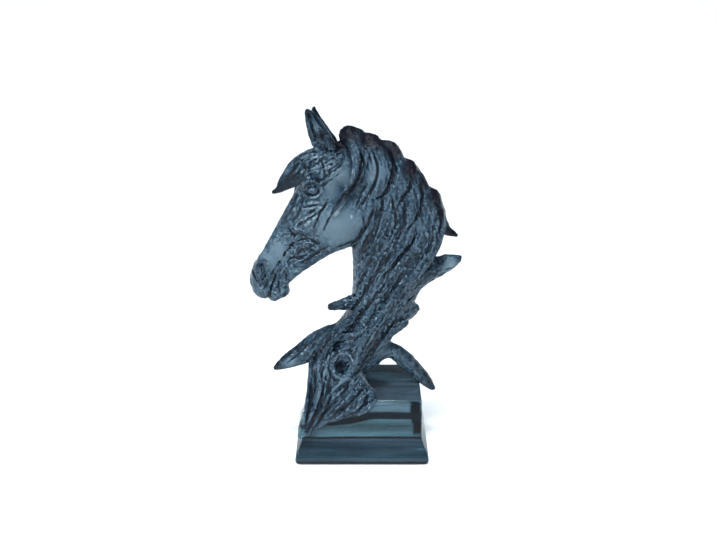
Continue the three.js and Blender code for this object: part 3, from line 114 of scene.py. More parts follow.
    "nostril_rim": { "form": "stroke", "blend": 2.6, "far": [0, 0], "at": [[-81.8, -10.8, 170.7, 1.9, 2], [-85.5, -11.4, 169.4, 2.7, 2.8], [-87.4, -11.6, 165.3, 2.7, 2.6], [-87.3, -11.2, 159.8, 2, 2.2], [-86.1, -10.4, 155.5, 1.2, 1.4]] },
    "knot_rim": { "form": "stroke", "blend": 1.5, "far": None, "at": [[-24.1, -27, 96.1, 1.9, 2.4], [-25.8, -31, 88.3, 2, 2.6], [-23.1, -34, 81.1, 2, 2.6], [-16.3, -35.4, 78.4, 2, 2.6], [-10.3, -33.4, 82.4, 1.9, 2.4], [-8.1, -30.4, 90.8, 1.7, 2.2], [-12.1, -27.4, 97.8, 1.5, 2], [-18.9, -26.4, 98.6, 1.5, 2]] },
    "eyeball": { "form": "lump", "blend": 0.5, "pair": True, "centre": [-39.9, -16.8, 235.6], "half": [4.4, 3.5, 3.7], "turn": -15 },
    "ear_near_in": { "form": "groove", "blend": 1.2, "far": None, "at": [[-30.4, -14, 268.3, 3, 3], [-35.1, -16, 275.3, 5.9, 4.5], [-38.7, -16.6, 283.5, 5.2, 4.4], [-41.3, -16, 291.5, 3.2, 3.4], [-42.8, -14.8, 296.9, 1.4, 1.6]] },
    "ear_far_in": { "form": "groove", "blend": 1.2, "far": None, "at": [[-26.7, 15, 259.8, 3, 3], [-30.8, 16, 266.3, 5.1, 4.5], [-34.4, 16, 275.6, 4.6, 4.4], [-37.2, 15, 285, 2.7, 3.2], [-37.9, 13, 291.3, 1.2, 1.6]] },
    "nostril_fold": { "form": "groove", "blend": 1.2, "far": [0, 0], "at": [[-83.7, -13, 170.7, 0.8, 1.4], [-81.8, -13, 165.8, 1.4, 2.2], [-80.9, -12, 158.7, 1, 1.6]] },
    "mouth": { "form": "groove", "blend": 1.2, "far": [0, 0], "at": [[-81.4, -3, 132.6, 1.1, 5], [-78.6, -8.4, 141.3, 1.3, 3], [-75.6, -11.5, 150.2, 1.3, 2.8], [-72.9, -12, 157.1, 1.4, 2.6]] },
    "jaw_groove": { "form": "groove", "blend": 2.5, "far": [0, 0], "at": [[-53.3, -12, 175.1, 1.4, 1.6], [-46.4, -15, 186.6, 1.5, 1.8], [-39.5, -17.5, 199.4, 1.2, 1.4], [-33.6, -20, 213.8, 0.8, 1]] },
    "throat_fold": { "form": "groove", "blend": 2, "far": [0, 0], "at": [[-7.5, -16, 186, 2, 3], [1.5, -18, 190.1, 2, 3], [8.1, -20, 196.8, 1.2, 2]] },
    "lock_shadow1": { "form": "groove", "blend": 1.2, "far": None, "at": [[-1, -14, 265.8, 1.4, 2.4], [2.2, -18, 251.9, 1.7, 2.6], [-3.4, -20.5, 238.4, 2, 2.4], [-11.5, -21.5, 229.5, 1.4, 1.8], [-23.7, -21.5, 217.7, 0.8, 1.2]] },
    "lock_shadow2": { "form": "groove", "blend": 1.2, "far": None, "at": [[22.5, -9, 264.6, 1.4, 2.4], [27.3, -15, 251.1, 1.5, 2.6], [23.3, -19.5, 238.1, 1.5, 2.4], [12, -20.5, 228.3, 1.2, 1.8]] },
    "neck_groove": { "form": "groove", "blend": 1.2, "far": None, "at": [[45, -21, 195.4, 1.5, 2.2], [34.3, -24, 183.4, 1.9, 2.2], [23.7, -25.5, 170.9, 1.9, 2.2], [19.7, -25.5, 160.4, 1.2, 1.6]] },
}
# hair ridges round a stroke: how many, how deep, how fast they twist
RIDGES = {"forelock": (5, 0.6, 0.06), "crest_lock": (7, 0.6, 0.05), "tip": (5, 0.4, 0.05), "branch": (6, 0.5, 0.06),
          "arch": (5, 0.4, 0.06), "vine": (4, 0.4, 0.08), "root": (6, 0.6, 0.06), "strand": (4, 0.4, 0.1), "twig": (5, 0.4, 0.1)}

# valleys between the locks and roots: depth, then x, z, half-width
LOCK_GROOVES = [
    (2.6, [(-1.4, 268.7, 0.8), (-1.0, 260.1, 1.5), (-1.4, 251.5, 1.9), (-4.7, 243.6, 1.8), (-9.5, 237.1, 1.5), (-15.5, 230.5, 1.2), (-23.7, 221.1, 0.6)]),
    (2.6, [(19.3, 268.4, 0.8), (24.2, 261.9, 1.4), (25.6, 254.4, 1.7), (24.1, 245.6, 1.8), (20.9, 236.7, 1.7), (16.1, 231.0, 1.4), (10.4, 227.8, 0.7)]),
    (2.0, [(38.1, 254.9, 0.8), (40.5, 246.8, 1.5), (38.8, 237.9, 1.5), (34.0, 230.2, 1.2), (28.3, 222.1, 0.6)]),
    (2.2, [(47.5, 238.7, 0.8), (49.0, 229.2, 1.5), (46.8, 218.1, 1.6), (43.2, 210.2, 1.4), (37.5, 202.9, 0.7)]),
    (2.4, [(43.4, 195.6, 0.8), (38.9, 188.4, 1.5), (32.0, 180.3, 1.7), (23.8, 170.2, 1.4), (18.1, 163.4, 0.7)]),
    (1.4, [(7.9, 267.1, 0.6), (11.9, 257.2, 1.0), (12.0, 246.8, 1.1), (7.1, 235.2, 1.0), (-0.1, 223.8, 0.6)]),
    (1.8, [(0.7, 213.2, 0.8), (1.5, 204.3, 1.2), (-1.8, 196.2, 1.5), (-8.4, 188.9, 0.9)]),
    (1.3, [(10.4, 223.6, 0.6), (7.2, 213.4, 1.0), (3.2, 203.8, 1.0), (-1.8, 197.1, 0.6)]),
    (1.3, [(16.5, 228.4, 0.6), (15.4, 216.9, 1.0), (12.5, 204.5, 1.0), (8.1, 191.6, 0.6)]),
    (1.2, [(24.2, 229.6, 0.6), (25.9, 219.7, 1.0), (27.7, 208.4, 1.0), (22.8, 195.4, 0.6)]),
    (1.3, [(32.3, 230.3, 0.6), (34.9, 219.2, 1.0), (34.2, 206.9, 1.0), (28.6, 193.6, 0.6)]),
    (1.5, [(59.8, 224.5, 0.7), (64.1, 214.4, 1.2), (65.0, 204.9, 1.0), (60.9, 195.4, 0.6)]),
    (1.6, [(21.4, 159.9, 0.7), (12.4, 147.7, 1.2), (1.6, 132.2, 1.3), (-8.4, 116.3, 0.8)]),
    (1.4, [(34.6, 168.0, 0.7), (26.5, 152.3, 1.2), (16.6, 138.3, 1.2), (4.9, 122.2, 0.7)]),
    (1.3, [(11.4, 174.8, 0.6), (6.6, 156.7, 1.0), (-0.9, 141.5, 1.0), (-10.1, 127.6, 0.6)]),
    (1.5, [(20.1, 114.7, 0.7), (10.1, 101.5, 1.1), (0.8, 87.8, 1.1), (-6.8, 77.3, 0.7)]),
    (1.3, [(30.2, 125.6, 0.7), (21.8, 114.5, 1.1), (12.6, 101.1, 1.1), (5.1, 86.5, 0.7)]),
    (1.5, [(-33.6, 79.7, 0.8), (-33.6, 64.2, 1.3), (-39.6, 47.1, 1.2), (-46.5, 31.2, 0.7)]),
    (1.4, [(-43.0, 76.1, 0.7), (-43.7, 59.6, 1.2), (-47.2, 38.8, 0.7)]),
    (1.3, [(-26.8, 78.1, 0.6), (-26.9, 63.2, 1.1), (-33.7, 45.7, 1.1), (-42.3, 32.7, 0.6)]),
    (1.4, [(-8.4, 79.5, 0.7), (-14.3, 68.5, 1.1), (-26.1, 55.9, 1.1), (-37.1, 42.2, 0.7)]),
    (1.3, [(3.4, 71.3, 0.7), (-5.1, 62.9, 1.1), (-16.9, 50.6, 0.7)]),
    (1.3, [(-20.1, 116.5, 0.6), (-30.2, 106.4, 1.0), (-39.1, 90.1, 1.0), (-46.2, 81.8, 0.6)]),
    (1.0, [(-27.3, 112.4, 0.6), (-39.1, 104.9, 0.9), (-52.8, 91.9, 0.9), (-63.2, 82.6, 0.5)]),
]
# folds, veins and creases of the face: cut in or raised, by how much, then x, z, half-width
FOLDS = [
    ("cut", 1.6, [(-66.6, 237.7, 0.6), (-62.0, 243.1, 1.1), (-57.0, 248.5, 1.2), (-52.1, 254.4, 0.7)]),
    ("cut", 1.0, [(-55.4, 256.5, 0.5), (-50.4, 261.4, 0.9), (-44.7, 264.5, 0.6)]),
    ("cut", 1.3, [(-48.3, 234.6, 0.5), (-45.0, 240.2, 0.9), (-40.1, 241.5, 1.0), (-35.6, 237.9, 0.6)]),
    ("cut", 1.1, [(-47.2, 234.8, 0.5), (-43.7, 231.5, 0.9), (-38.7, 232.1, 0.9), (-35.4, 235.1, 0.6)]),
    ("add", 0.8, [(-49.6, 235.8, 0.5), (-45.0, 242.9, 1.0), (-39.1, 243.4, 1.1), (-33.8, 240.3, 0.6)]),
    ("add", 0.7, [(-47.1, 230.1, 0.5), (-42.4, 229.6, 0.9), (-37.5, 230.3, 0.9), (-34.2, 232.9, 0.5)]),
    ("add", 0.8, [(-47.9, 221.6, 0.5), (-43.3, 224.9, 0.8), (-36.3, 225.7, 0.8), (-34.3, 223.7, 0.5)]),
    ("add", 0.7, [(-47.0, 219.7, 0.5), (-41.7, 220.9, 0.8), (-36.0, 222.4, 0.6)]),
    ("cut", 1.0, [(-47.0, 221.1, 0.5), (-41.6, 222.9, 0.8), (-36.8, 223.8, 0.5)]),
    ("cut", 1.8, [(-43.4, 216.8, 0.8), (-41.3, 218.2, 1.2), (-39.3, 219.0, 0.7)]),
    ("add", 1.0, [(-36.8, 218.4, 0.6), (-41.8, 214.5, 1.0), (-46.8, 210.7, 1.1), (-51.5, 207.8, 1.0), (-55.3, 203.1, 0.5)]),
    ("add", 0.8, [(-35.2, 215.0, 0.5), (-40.2, 210.6, 0.8), (-45.2, 206.7, 0.9), (-50.3, 203.6, 0.5)]),
    ("cut", 1.1, [(-37.7, 215.8, 0.5), (-42.7, 212.2, 0.8), (-48.5, 208.2, 0.8), (-53.6, 204.6, 0.5)]),
    ("cut", 1.8, [(-13.1, 231.3, 0.6), (-17.6, 227.9, 1.0), (-22.1, 222.4, 1.1), (-25.3, 217.0, 0.6)]),
    ("cut", 1.4, [(-27.8, 227.8, 0.5), (-30.3, 222.2, 0.8), (-34.7, 216.4, 0.9), (-36.9, 210.7, 0.9), (-40.4, 201.6, 0.6)]),
    ("cut", 1.0, [(-23.7, 217.5, 0.5), (-27.9, 210.2, 0.8), (-31.3, 202.2, 0.6)]),
    ("add", 0.8, [(-50.9, 231.3, 0.6), (-53.0, 224.0, 1.0), (-56.8, 216.2, 1.0), (-61.6, 208.1, 0.6)]),
    ("cut", 1.2, [(-53.0, 229.9, 0.5), (-55.6, 222.6, 0.9), (-59.4, 214.8, 0.9), (-64.6, 205.8, 0.5)]),
    ("cut", 0.9, [(-47.9, 228.0, 0.5), (-50.0, 221.5, 0.8), (-52.6, 214.5, 0.8), (-56.9, 208.0, 0.5)]),
    ("cut", 1.9, [(-59.6, 199.7, 0.7), (-55.9, 195.7, 1.3), (-51.7, 197.6, 1.2), (-45.9, 194.8, 0.7)]),
    ("add", 0.9, [(-60.5, 194.9, 0.5), (-56.2, 200.4, 0.9), (-51.2, 201.3, 0.9), (-46.2, 199.4, 0.5)]),
    ("cut", 2.0, [(-54.3, 191.8, 0.7), (-59.4, 185.3, 1.2), (-64.2, 179.3, 1.3), (-67.2, 173.5, 1.2), (-71.1, 169.0, 1.0), (-75.9, 160.7, 0.6)]),
    ("add", 0.9, [(-56.6, 180.4, 0.6), (-53.6, 186.4, 1.0), (-48.1, 189.4, 1.1), (-42.3, 189.4, 1.0), (-36.9, 186.0, 0.6)]),
    ("cut", 1.2, [(-53.9, 190.5, 0.5), (-48.5, 192.5, 0.9), (-42.2, 192.4, 0.9), (-36.1, 188.4, 0.5)]),
    ("cut", 0.9, [(-53.4, 179.0, 0.5), (-49.1, 183.1, 0.8), (-43.3, 183.3, 0.8), (-39.1, 181.3, 0.5)]),
    ("cut", 1.2, [(-63.6, 170.8, 0.5), (-58.4, 175.3, 0.8), (-52.6, 175.3, 0.9), (-45.8, 178.7, 0.5)]),
    ("cut", 2.4, [(-82.8, 170.2, 0.7), (-81.3, 164.9, 1.3), (-81.3, 160.6, 1.3), (-83.2, 156.4, 0.7)]),
    ("cut", 2.0, [(-91.8, 165.4, 0.6), (-91.2, 162.0, 1.2), (-89.3, 157.7, 1.3), (-86.6, 154.1, 0.7)]),
    ("add", 1.2, [(-85.8, 170.0, 0.9), (-85.7, 165.1, 1.9), (-85.5, 159.5, 1.1)]),
    ("cut", 1.8, [(-72.6, 160.5, 0.6), (-73.4, 157.4, 1.2), (-75.2, 153.5, 1.0), (-76.7, 148.1, 0.6)]),
    ("cut", 1.0, [(-78.9, 156.1, 0.5), (-80.2, 151.7, 0.8), (-82.8, 147.5, 0.5)]),
    ("cut", 1.0, [(-69.8, 155.5, 0.5), (-70.8, 150.0, 0.8), (-69.2, 144.6, 0.5)]),
    ("cut", 1.0, [(-65.4, 163.7, 0.5), (-63.3, 159.9, 0.8), (-63.9, 154.7, 0.5)]),
    ("add", 0.8, [(-87.5, 151.4, 0.5), (-83.3, 146.6, 0.9), (-78.7, 141.8, 0.6)]),
    ("add", 0.8, [(-67.9, 161.8, 0.5), (-65.3, 166.3, 0.9), (-60.2, 170.0, 0.5)]),
    ("cut", 1.4, [(-19.9, 187.1, 0.5), (-14.1, 189.3, 1.0), (-7.5, 191.9, 0.8)]),
    ("cut", 1.2, [(-29.8, 185.9, 0.5), (-36.6, 181.0, 0.9), (-44.1, 176.4, 0.9), (-50.9, 170.9, 0.5)]),
    ("cut", 1.0, [(-36.5, 265.6, 0.5), (-32.5, 257.7, 0.8), (-30.1, 249.9, 0.8), (-31.8, 242.3, 0.5)]),
    ("cut", 1.0, [(-43.0, 262.6, 0.5), (-41.8, 255.8, 0.8), (-43.9, 249.4, 0.5)]),
    ("cut", 1.0, [(-23.6, 261.0, 0.5), (-26.0, 252.9, 0.8), (-30.9, 244.8, 0.8), (-35.8, 243.1, 0.4)]),
    ("add", 0.8, [(-39.8, 263.4, 0.5), (-36.5, 255.3, 0.9), (-35.0, 246.4, 0.5)]),
    ("add", 0.8, [(-29.2, 262.8, 0.5), (-27.6, 254.6, 0.9), (-30.9, 247.4, 0.5)]),
    ("cut", 0.9, [(-47.9, 258.5, 0.5), (-46.3, 251.7, 0.8), (-47.9, 245.7, 0.5)]),
    ("add", 1.5, [(9.9, 126.8, 0.9), (1.6, 113.2, 1.7), (-3.0, 99.4, 1.9), (-6.7, 87.5, 1.9), (-13.4, 78.7, 1.9), (-23.9, 69.7, 1.8), (-33.2, 55.3, 1.7), (-40.9, 40.7, 1.5), (-46.9, 30.2, 0.8)]),
    ("add", 1.3, [(-25.6, 114.5, 0.8), (-24.9, 105.7, 1.6), (-28.6, 91.7, 1.7), (-31.8, 78.9, 1.7), (-36.1, 65.1, 1.6), (-41.2, 50.3, 1.5), (-48.5, 36.5, 0.8)]),
    ("add", 1.1, [(-43.3, 86.7, 0.7), (-44.0, 73.9, 1.5), (-47.5, 52.9, 1.4), (-50.7, 33.0, 0.7)]),
    ("cut", 1.7, [(-39.4, 82.2, 0.8), (-39.2, 70.4, 1.7), (-42.9, 56.5, 1.6), (-46.8, 43.4, 0.8)]),
    ("cut", 1.6, [(-27.0, 79.0, 0.7), (-30.0, 66.2, 1.4), (-34.6, 53.6, 1.2), (-39.6, 44.4, 0.6)]),
    ("add", 1.2, [(-12.6, 98.0, 0.7), (-8.0, 92.7, 1.3), (-9.3, 83.9, 1.4), (-16.0, 78.3, 1.3), (-22.7, 81.3, 1.2), (-23.5, 90.5, 1.2), (-19.4, 96.0, 1.1), (-12.6, 98.0, 0.7)]),
    ("cut", 2.0, [(-15.6, 93.8, 0.8), (-18.6, 88.8, 1.8), (-19.0, 83.8, 1.6), (-16.0, 81.5, 0.8)]),
    ("cut", 1.2, [(-26.5, 94.2, 0.6), (-27.7, 87.4, 1.0), (-25.6, 79.7, 1.0), (-20.1, 75.2, 0.6)]),
    ("add", 1.0, [(3.3, 103.7, 0.6), (-0.9, 93.8, 1.3), (-3.4, 82.0, 1.3), (-10.9, 73.7, 1.2), (-21.0, 65.1, 0.7)]),
    ("cut", 1.3, [(5.8, 108.6, 0.6), (0.8, 100.7, 1.0), (-1.7, 90.3, 1.0), (-7.6, 79.3, 0.6)]),
    ("add", 1.0, [(-4.2, 70.7, 0.7), (-11.0, 63.8, 1.3), (-20.2, 54.5, 1.2), (-30.4, 43.8, 0.7)]),
    ("add", 1.0, [(7.6, 67.1, 0.7), (-2.6, 59.5, 1.3), (-13.5, 49.9, 1.2), (-25.4, 40.3, 0.7)]),
    ("cut", 1.2, [(1.7, 70.4, 0.6), (-6.8, 62.0, 1.0), (-16.9, 52.5, 1.0), (-27.9, 42.6, 0.6)]),
    ("cut", 1.1, [(12.6, 62.6, 0.6), (2.5, 55.1, 1.0), (-8.5, 47.8, 1.0), (-20.3, 40.4, 0.6)]),
    ("add", 1.0, [(-18.9, 116.1, 0.7), (-27.2, 110.6, 1.4), (-37.4, 103.0, 1.3), (-48.5, 94.0, 0.7)]),
    ("add", 1.2, [(24.9, 137.2, 0.8), (15.8, 124.5, 1.6), (7.5, 110.9, 1.5), (0.8, 100.7, 0.8)]),
    ("cut", 1.2, [(-64.2, 88.3, 0.5), (-70.3, 83.5, 0.9), (-74.7, 78.8, 0.6)]),
    ("cut", 1.3, [(-42.8, 297.5, 0.5), (-40.9, 289.2, 0.9), (-38.6, 280.1, 0.9), (-35.7, 273.1, 0.5)]),
    ("cut", 1.2, [(-38.5, 298.0, 0.5), (-36.9, 293.8, 0.8), (-32.9, 288.1, 0.9), (-28.2, 281.1, 0.5)]),
    ("cut", 1.6, [(-34.6, 285.6, 0.7), (-32.7, 280.4, 1.5), (-29.9, 275.5, 1.0)]),
    ("add", 0.6, [(-44.5, 297.6, 0.4), (-42.9, 288.5, 0.6), (-40.7, 279.5, 0.6), (-37.8, 272.8, 0.4)]),
    ("add", 0.6, [(-39.4, 299.2, 0.4), (-35.4, 294.6, 0.6), (-29.8, 286.7, 0.6), (-25.1, 279.7, 0.4)]),
    ("cut", 1.6, [(-27.5, 267.7, 0.6), (-21.1, 266.7, 1.2), (-15.5, 268.6, 1.3), (-9.8, 269.7, 0.7)]),
]
# painted light and shade mixed with the casting's own lighter and darker passages: painted shade under the cheek and
# jaw, behind the ear and in recesses, painted light on planes facing the lamps, painted glints and the eye's painted
# highlight; x, z, radius, change of brightness
PAINTED_LIGHT_AND_TONES = [(-79, 180, 8.5, -0.04), (-59, 240, 5.9, -0.08), (-38, 255, 12.7, 0.06), (-24, 243, 11.0, 0.05), (-65, 164, 16.9, 0.07), (-84, 151, 8.5, 0.05), 
         (-47, 205, 15.2, 0.04), (-84, 147, 3.4, 0.14), (-77, 152, 2.5, 0.12), (-65, 149, 4.2, 0.1), (-72, 139, 3.4, 0.16), (-59, 158, 3.4, 0.08), 
         (-81, 139, 2.5, -0.15), (-66, 139, 2.5, -0.15), (-89, 156, 2.5, -0.2), (-40, 290, 2.5, 0.12), (-37, 283, 2.5, 0.12), (-77, 184, 7.6, -0.05), 
         (-71, 83, 2.1, -0.35), (-66, 86, 2.1, -0.4), (-62, 90, 2.1, -0.4), (-55, 95, 2.5, -0.34), (-49, 99, 2.5, -0.3), (-67, 82, 6.8, -0.08), 
         (30, 95, 2.5, -0.28), (36, 90, 2.5, -0.34), (42, 83, 2.5, -0.34), (48, 76, 2.5, -0.34), (55, 68, 2.5, -0.3), (60, 59, 2.5, -0.3), 
         (26, 92, 3.4, 0.12), (37, 76, 3.0, 0.12), (48, 66, 3.0, 0.14), (54, 57, 2.5, 0.1), (-34, 257, 0.8, 0.6), (-26, 255, 1.1, 0.6), 
         (-24, 250, 0.8, 0.6), (-31, 259, 0.8, 0.6), (-14, 234, 1.1, 0.6), (-13, 237, 0.8, 0.6), (-8, 251, 0.8, 0.6), (-20, 217, 1.1, 0.6), 
         (-22, 215, 0.8, 0.6), (-9, 220, 0.8, 0.6), (-9, 213, 1.1, 0.6), (-13, 217, 0.8, 0.6), (-43, 223, 0.8, 0.6), (-39, 224, 1.1, 0.6), 
         (-34, 221, 0.8, 0.6), (-44, 208, 0.8, 0.6), (-50, 209, 1.1, 0.6), (-40, 212, 0.8, 0.6), (-69, 188, 0.8, 0.22), (-64, 189, 1.1, 0.22), 
         (-44, 192, 0.8, 0.6), (-2, 261, 0.8, 0.6), (8, 245, 1.1, 0.6), (3, 251, 0.8, 0.6), (25, 268, 0.8, 0.6), (23, 120, 1.1, 0.6), 
         (20, 117, 0.8, 0.6), (-12, 52, 0.8, 0.6), (-3, 53, 1.1, 0.6), (6, 53, 0.8, 0.6), (-48, 95, 0.8, 0.6), (-51, 91, 1.1, 0.6), 
         (-54, 194, 0.8, 0.6), (-64, 171, 0.8, 0.6), (-54, 164, 1.1, 0.6), (-73, 144, 0.8, 0.6), (-79, 170, 0.8, 0.6), (34, 264, 1.1, 0.6), 
         (15, 222, 0.8, 0.6), (30, 175, 0.8, 0.6), (48, 161, 1.1, 0.6), (-14, 138, 0.8, 0.6), (8, 113, 0.8, 0.6), (-64, 237, 5.1, -0.15), 
         (-57, 242, 5.1, -0.12), (-50, 252, 3.4, 0.08), (-80, 179, 5.1, 0.07), (-73, 188, 5.1, 0.07), (-66, 197, 4.2, 0.03), (-21, 209, 10.2, 0.03), 
         (-16, 247, 6.8, 0.05), (-46, 266, 5.9, 0.06), (-32, 253, 5.9, 0.09), (-84, 154, 3.4, -0.1), (-88, 167, 3.4, -0.12), (-66, 145, 5.1, 0.05), 
         (-55, 224, 3.8, -0.22), (-59, 216, 3.8, -0.22), (-64, 208, 3.4, -0.2), (-57, 198, 4.2, -0.16), (-51, 196, 3.4, -0.16), (-32, 184, 3.8, -0.2), 
         (-40, 178, 3.8, -0.22), (-48, 172, 3.8, -0.2), (-51, 246, 3.8, -0.24), (-41, 237, 4.2, -0.1), (-40, 237, 1.5, 0.34), (-33, 223, 7.6, 0.04), 
         (-8, 59, 11.8, -0.05), (28, 114, 7.6, -0.05), (7, 185, 15.2, -0.08), (-14, 138, 25.4, -0.06), (-31, 60, 22.0, -0.1), (-42, 255, 10.2, -0.06), 
         (-73, 156, 8.5, -0.08), (-60, 240, 4.2, -0.36), (-55, 246, 3.8, -0.28), (-70, 233, 4.2, -0.34), (-65, 247, 2.5, 0.05), (-15, 268, 5.1, -0.3), 
         (54, 227, 4.2, 0.12), (59, 215, 4.2, 0.12), (66, 170, 4.2, -0.25), (75, 167, 3.4, 0.16), (-84, 151, 7.6, -0.08), (-65, 159, 7.6, -0.08), 
         (7, 180, 11.8, -0.05), (47, 222, 8.5, -0.05), (-36, 287, 3.0, 0.16), (-33, 279, 3.4, -0.3), (-43, 290, 2.5, 0.06), (-27, 104, 13.5, -0.06), 
         (39, 257, 7.6, -0.1), (-62, 83, 3.4, 0.2), (-74, 78, 2.2, -0.45), (-62, 90, 3.0, -0.25), (-51, 97, 5.9, -0.05), (43, 81, 4.2, 0.08), 
         (35, 92, 4.2, 0.06), (49, 80, 3.4, -0.2), (-19, 87, 3.4, -0.25), (31, 90, 7.6, 0.06), (57, 61, 5.1, -0.2), (-21, 64, 4.2, 0.14), 
         (31, 151, 7.6, -0.08), (-50, 40, 4.2, -0.12), (-47, 38, 4.2, -0.15), ]
# dark tops of the crest: x, z, radius
CREST = [(-12, 282, 8.5), (5, 278, 8.5), (26, 268, 8.5), (41, 252, 8.0), (62, 228, 8.5), (75, 196, 5.1), 
         (-4, 286, 6.8), (-19, 274, 5.9), (14, 274, 6.8), (52, 240, 5.9), (67, 214, 5.1), ]
SMOOTH = [(-17, 205, 21), (-70, 181, 8), (-78, 172, 7), (-25, 234, 9), (-14, 245, 10), (10, 250, 10), (74, 166, 8), (-62, 82, 8), (18, 92, 6), (-34, 64, 5)]
# painted shade in fine hollows, painted highlight on fine ridges, painted shade on convex rims and edges
HOLLOW_PAINTED_SHADE, RIDGE_PAINTED_HIGHLIGHT, RIM_PAINTED_SHADE = 0.45, 0.17, 0.42
rng = np.random.default_rng(7)




def spline(rows, n):
    rows = np.asarray(rows, float)
    q = np.vstack([2 * rows[0] - rows[1], rows, 2 * rows[-1] - rows[-2]])
    out = []
    for i in range(1, len(q) - 2):
        a, b, c, d = q[i - 1:i + 3]
        for s in range(n):
            t = s / n
            out.append(0.5 * (2 * b + (c - a) * t + (2 * a - 5 * b + 4 * c - d) * t * t + (3 * b - a - 3 * c + d) * t ** 3))
    out.append(rows[-1])
    out = np.array(out)
    out[:, 3:] = np.maximum(out[:, 3:], 0.3)
    return out


class Field:
    """signed distance on a grid: strokes, ovals and strands are joined or cut with soft fillets"""

    def __init__(self, lo, hi, h):
        self.lo, self.h = np.array(lo, float), h
        self.n = [int(math.ceil((b - a) / h)) + 1 for a, b in zip(lo, hi)]
        self.ax = [np.float32(lo[i] + h * np.arange(self.n[i])) for i in range(3)]
        self.f = np.full(self.n, 30.0, np.float32)

    def block(self, lo, hi):
        s = []
        for i in range(3):
            a = max(0, int((lo[i] - self.lo[i]) / self.h))
            b = min(self.n[i], int((hi[i] - self.lo[i]) / self.h) + 2)
            if b <= a:
                return None
            s.append(slice(a, b))
        return tuple(s)

    def coords(self, s):
        return self.ax[0][s[0]][:, None, None], self.ax[1][s[1]][None, :, None], self.ax[2][s[2]][None, None, :]

    def merge(self, s, d, k, away):
        f = self.f[s]
        o = -d if away else d
        h = np.maximum(k - np.abs(f - o), 0) / k
        f[...] = np.maximum(f, o) + h * h * (k / 4) if away else np.minimum(f, o) - h * h * (k / 4)

    def stroke(self, rows, k=3.0, ridge=None, away=False, n=6):
        q = spline(rows, n)
        m = k + 2 + q[:, 3:].max()
        s = self.block((q[:, :3] - m).min(0), (q[:, :3] + m).max(0))
        if s is None:
            return
        near = np.full([x.stop - x.start for x in s], 30.0, np.float32)
        length = np.concatenate([[0], np.cumsum(np.linalg.norm(np.diff(q[:, :3], axis=0), axis=1))])
        nrm = None
        for i in range(len(q) - 1):
            a, b = q[i], q[i + 1]
            mm = k + 2 + max(a[3], b[3], a[4], b[4])
            t = self.block(np.minimum(a[:3], b[:3]) - mm, np.maximum(a[:3], b[:3]) + mm)
            if t is None:
                continue
            X, Y, Z = self.coords(t)
            flat = 0.5 * (a[3] / a[4] + b[3] / b[4])
            ab = b[:3] - a[:3]
            e = ab * np.array([1, flat, 1])
            px, py, pz = X - a[0], (Y - a[1]) * flat, Z - a[2]
            u = np.clip((px * e[0] + py * e[1] + pz * e[2]) / (float(e @ e) + 1e-9), 0, 1)
            dx, dy, dz = px - u * e[0], py - u * e[1], pz - u * e[2]
            r = a[3] + u * (b[3] - a[3])
            dist = np.sqrt(dx * dx + dy * dy + dz * dz) + 1e-6
            slope = np.sqrt(dx * dx + (flat * dy) ** 2 + dz * dz) / dist
            if ridge:
                tg = ab / (np.linalg.norm(ab) + 1e-9)
                if nrm is None:
                    nrm = np.cross(tg, [0.13, 1, 0.21])
                nrm = nrm - (nrm @ tg) * tg
                nrm /= np.linalg.norm(nrm)
                bn = np.cross(tg, nrm)
                ph = np.arctan2(dx * bn[0] + dy * bn[1] + dz * bn[2], dx * nrm[0] + dy * nrm[1] + dz * nrm[2])
                along = length[i] + u * (length[i + 1] - length[i])
                fade = np.clip((r - 1.5) / 3.0, 0, 1)
                r = r - ridge[1] * fade * (0.5 + 0.5 * np.cos(ridge[0] * ph + ridge[2] * along + 0.8 * np.sin(along * 0.21)))
            d = ((dist - r) / np.maximum(slope, 0.35)).astype(np.float32)
            tt = tuple(slice(x.start - y.start, x.stop - y.start) for x, y in zip(t, s))
            np.minimum(near[tt], d, out=near[tt])
        self.merge(s, near, k, away)

    def oval(self, c, r, turn, k, away=False):
        m = max(r) + k + 2
        s = self.block([x - m for x in c], [x + m for x in c])
        X, Y, Z = self.coords(s)
        ca, sa = math.cos(math.radians(turn)), math.sin(math.radians(turn))
        x, z, v = X - c[0], Z - c[2], Y - c[1]
        u, w = x * ca + z * sa, -x * sa + z * ca
        k0 = np.sqrt((u / r[0]) ** 2 + (v / r[1]) ** 2 + (w / r[2]) ** 2)
        k1 = np.sqrt((u / r[0] ** 2) ** 2 + (v / r[1] ** 2) ** 2 + (w / r[2] ** 2) ** 2) + 1e-6
        self.merge(s, (k0 * (k0 - 1) / k1).astype(np.float32), k, away)

    def learn_skin(self):
        """for each column along y, where the body begins from either side"""
        self.skins = {}
        for side in (-1, 1):
            f = self.f if side < 0 else self.f[:, ::-1]
            y = self.ax[1] if side < 0 else self.ax[1][::-1]
            inside = f < 0
            j = inside.argmax(1)
            hit = inside.any(1)
            jj = np.maximum(j, 1)
            ii, kk = np.meshgrid(np.arange(self.n[0]), np.arange(self.n[2]), indexing="ij")
            f0, f1 = f[ii, jj - 1, kk], f[ii, jj, kk]
            t = np.clip(f0 / (f0 - f1 + 1e-9), 0, 1)
            self.skins[side] = np.where(hit, y[jj - 1] + t * (y[jj] - y[jj - 1]), 0.0)

    def skin(self, x, z, side):
        i = min(max(int(round((x - self.lo[0]) / self.h)), 0), self.n[0] - 1)
        k = min(max(int(round((z - self.lo[2]) / self.h)), 0), self.n[2] - 1)
        return float(self.skins[side][i, k])

    def strand(self, rows, rise, side, k=1.6, ridge=None, away=False, n=5):
        out, last = [], len(rows) - 1
        for i, (x, z, r) in enumerate(rows):
            across = max(0.62 * r, 0.35)
            e = rise * (0.35 if i in (0, last) else 1.0) * min(1, r / 3 if not away and r > 1.5 else 1)
            y = self.skin(x, z, side)
            y = y - side * (across - e) if not away else y + side * (across - e)
            out.append((x, y, z, r, across))
        self.stroke(out, k, ridge, away, n)


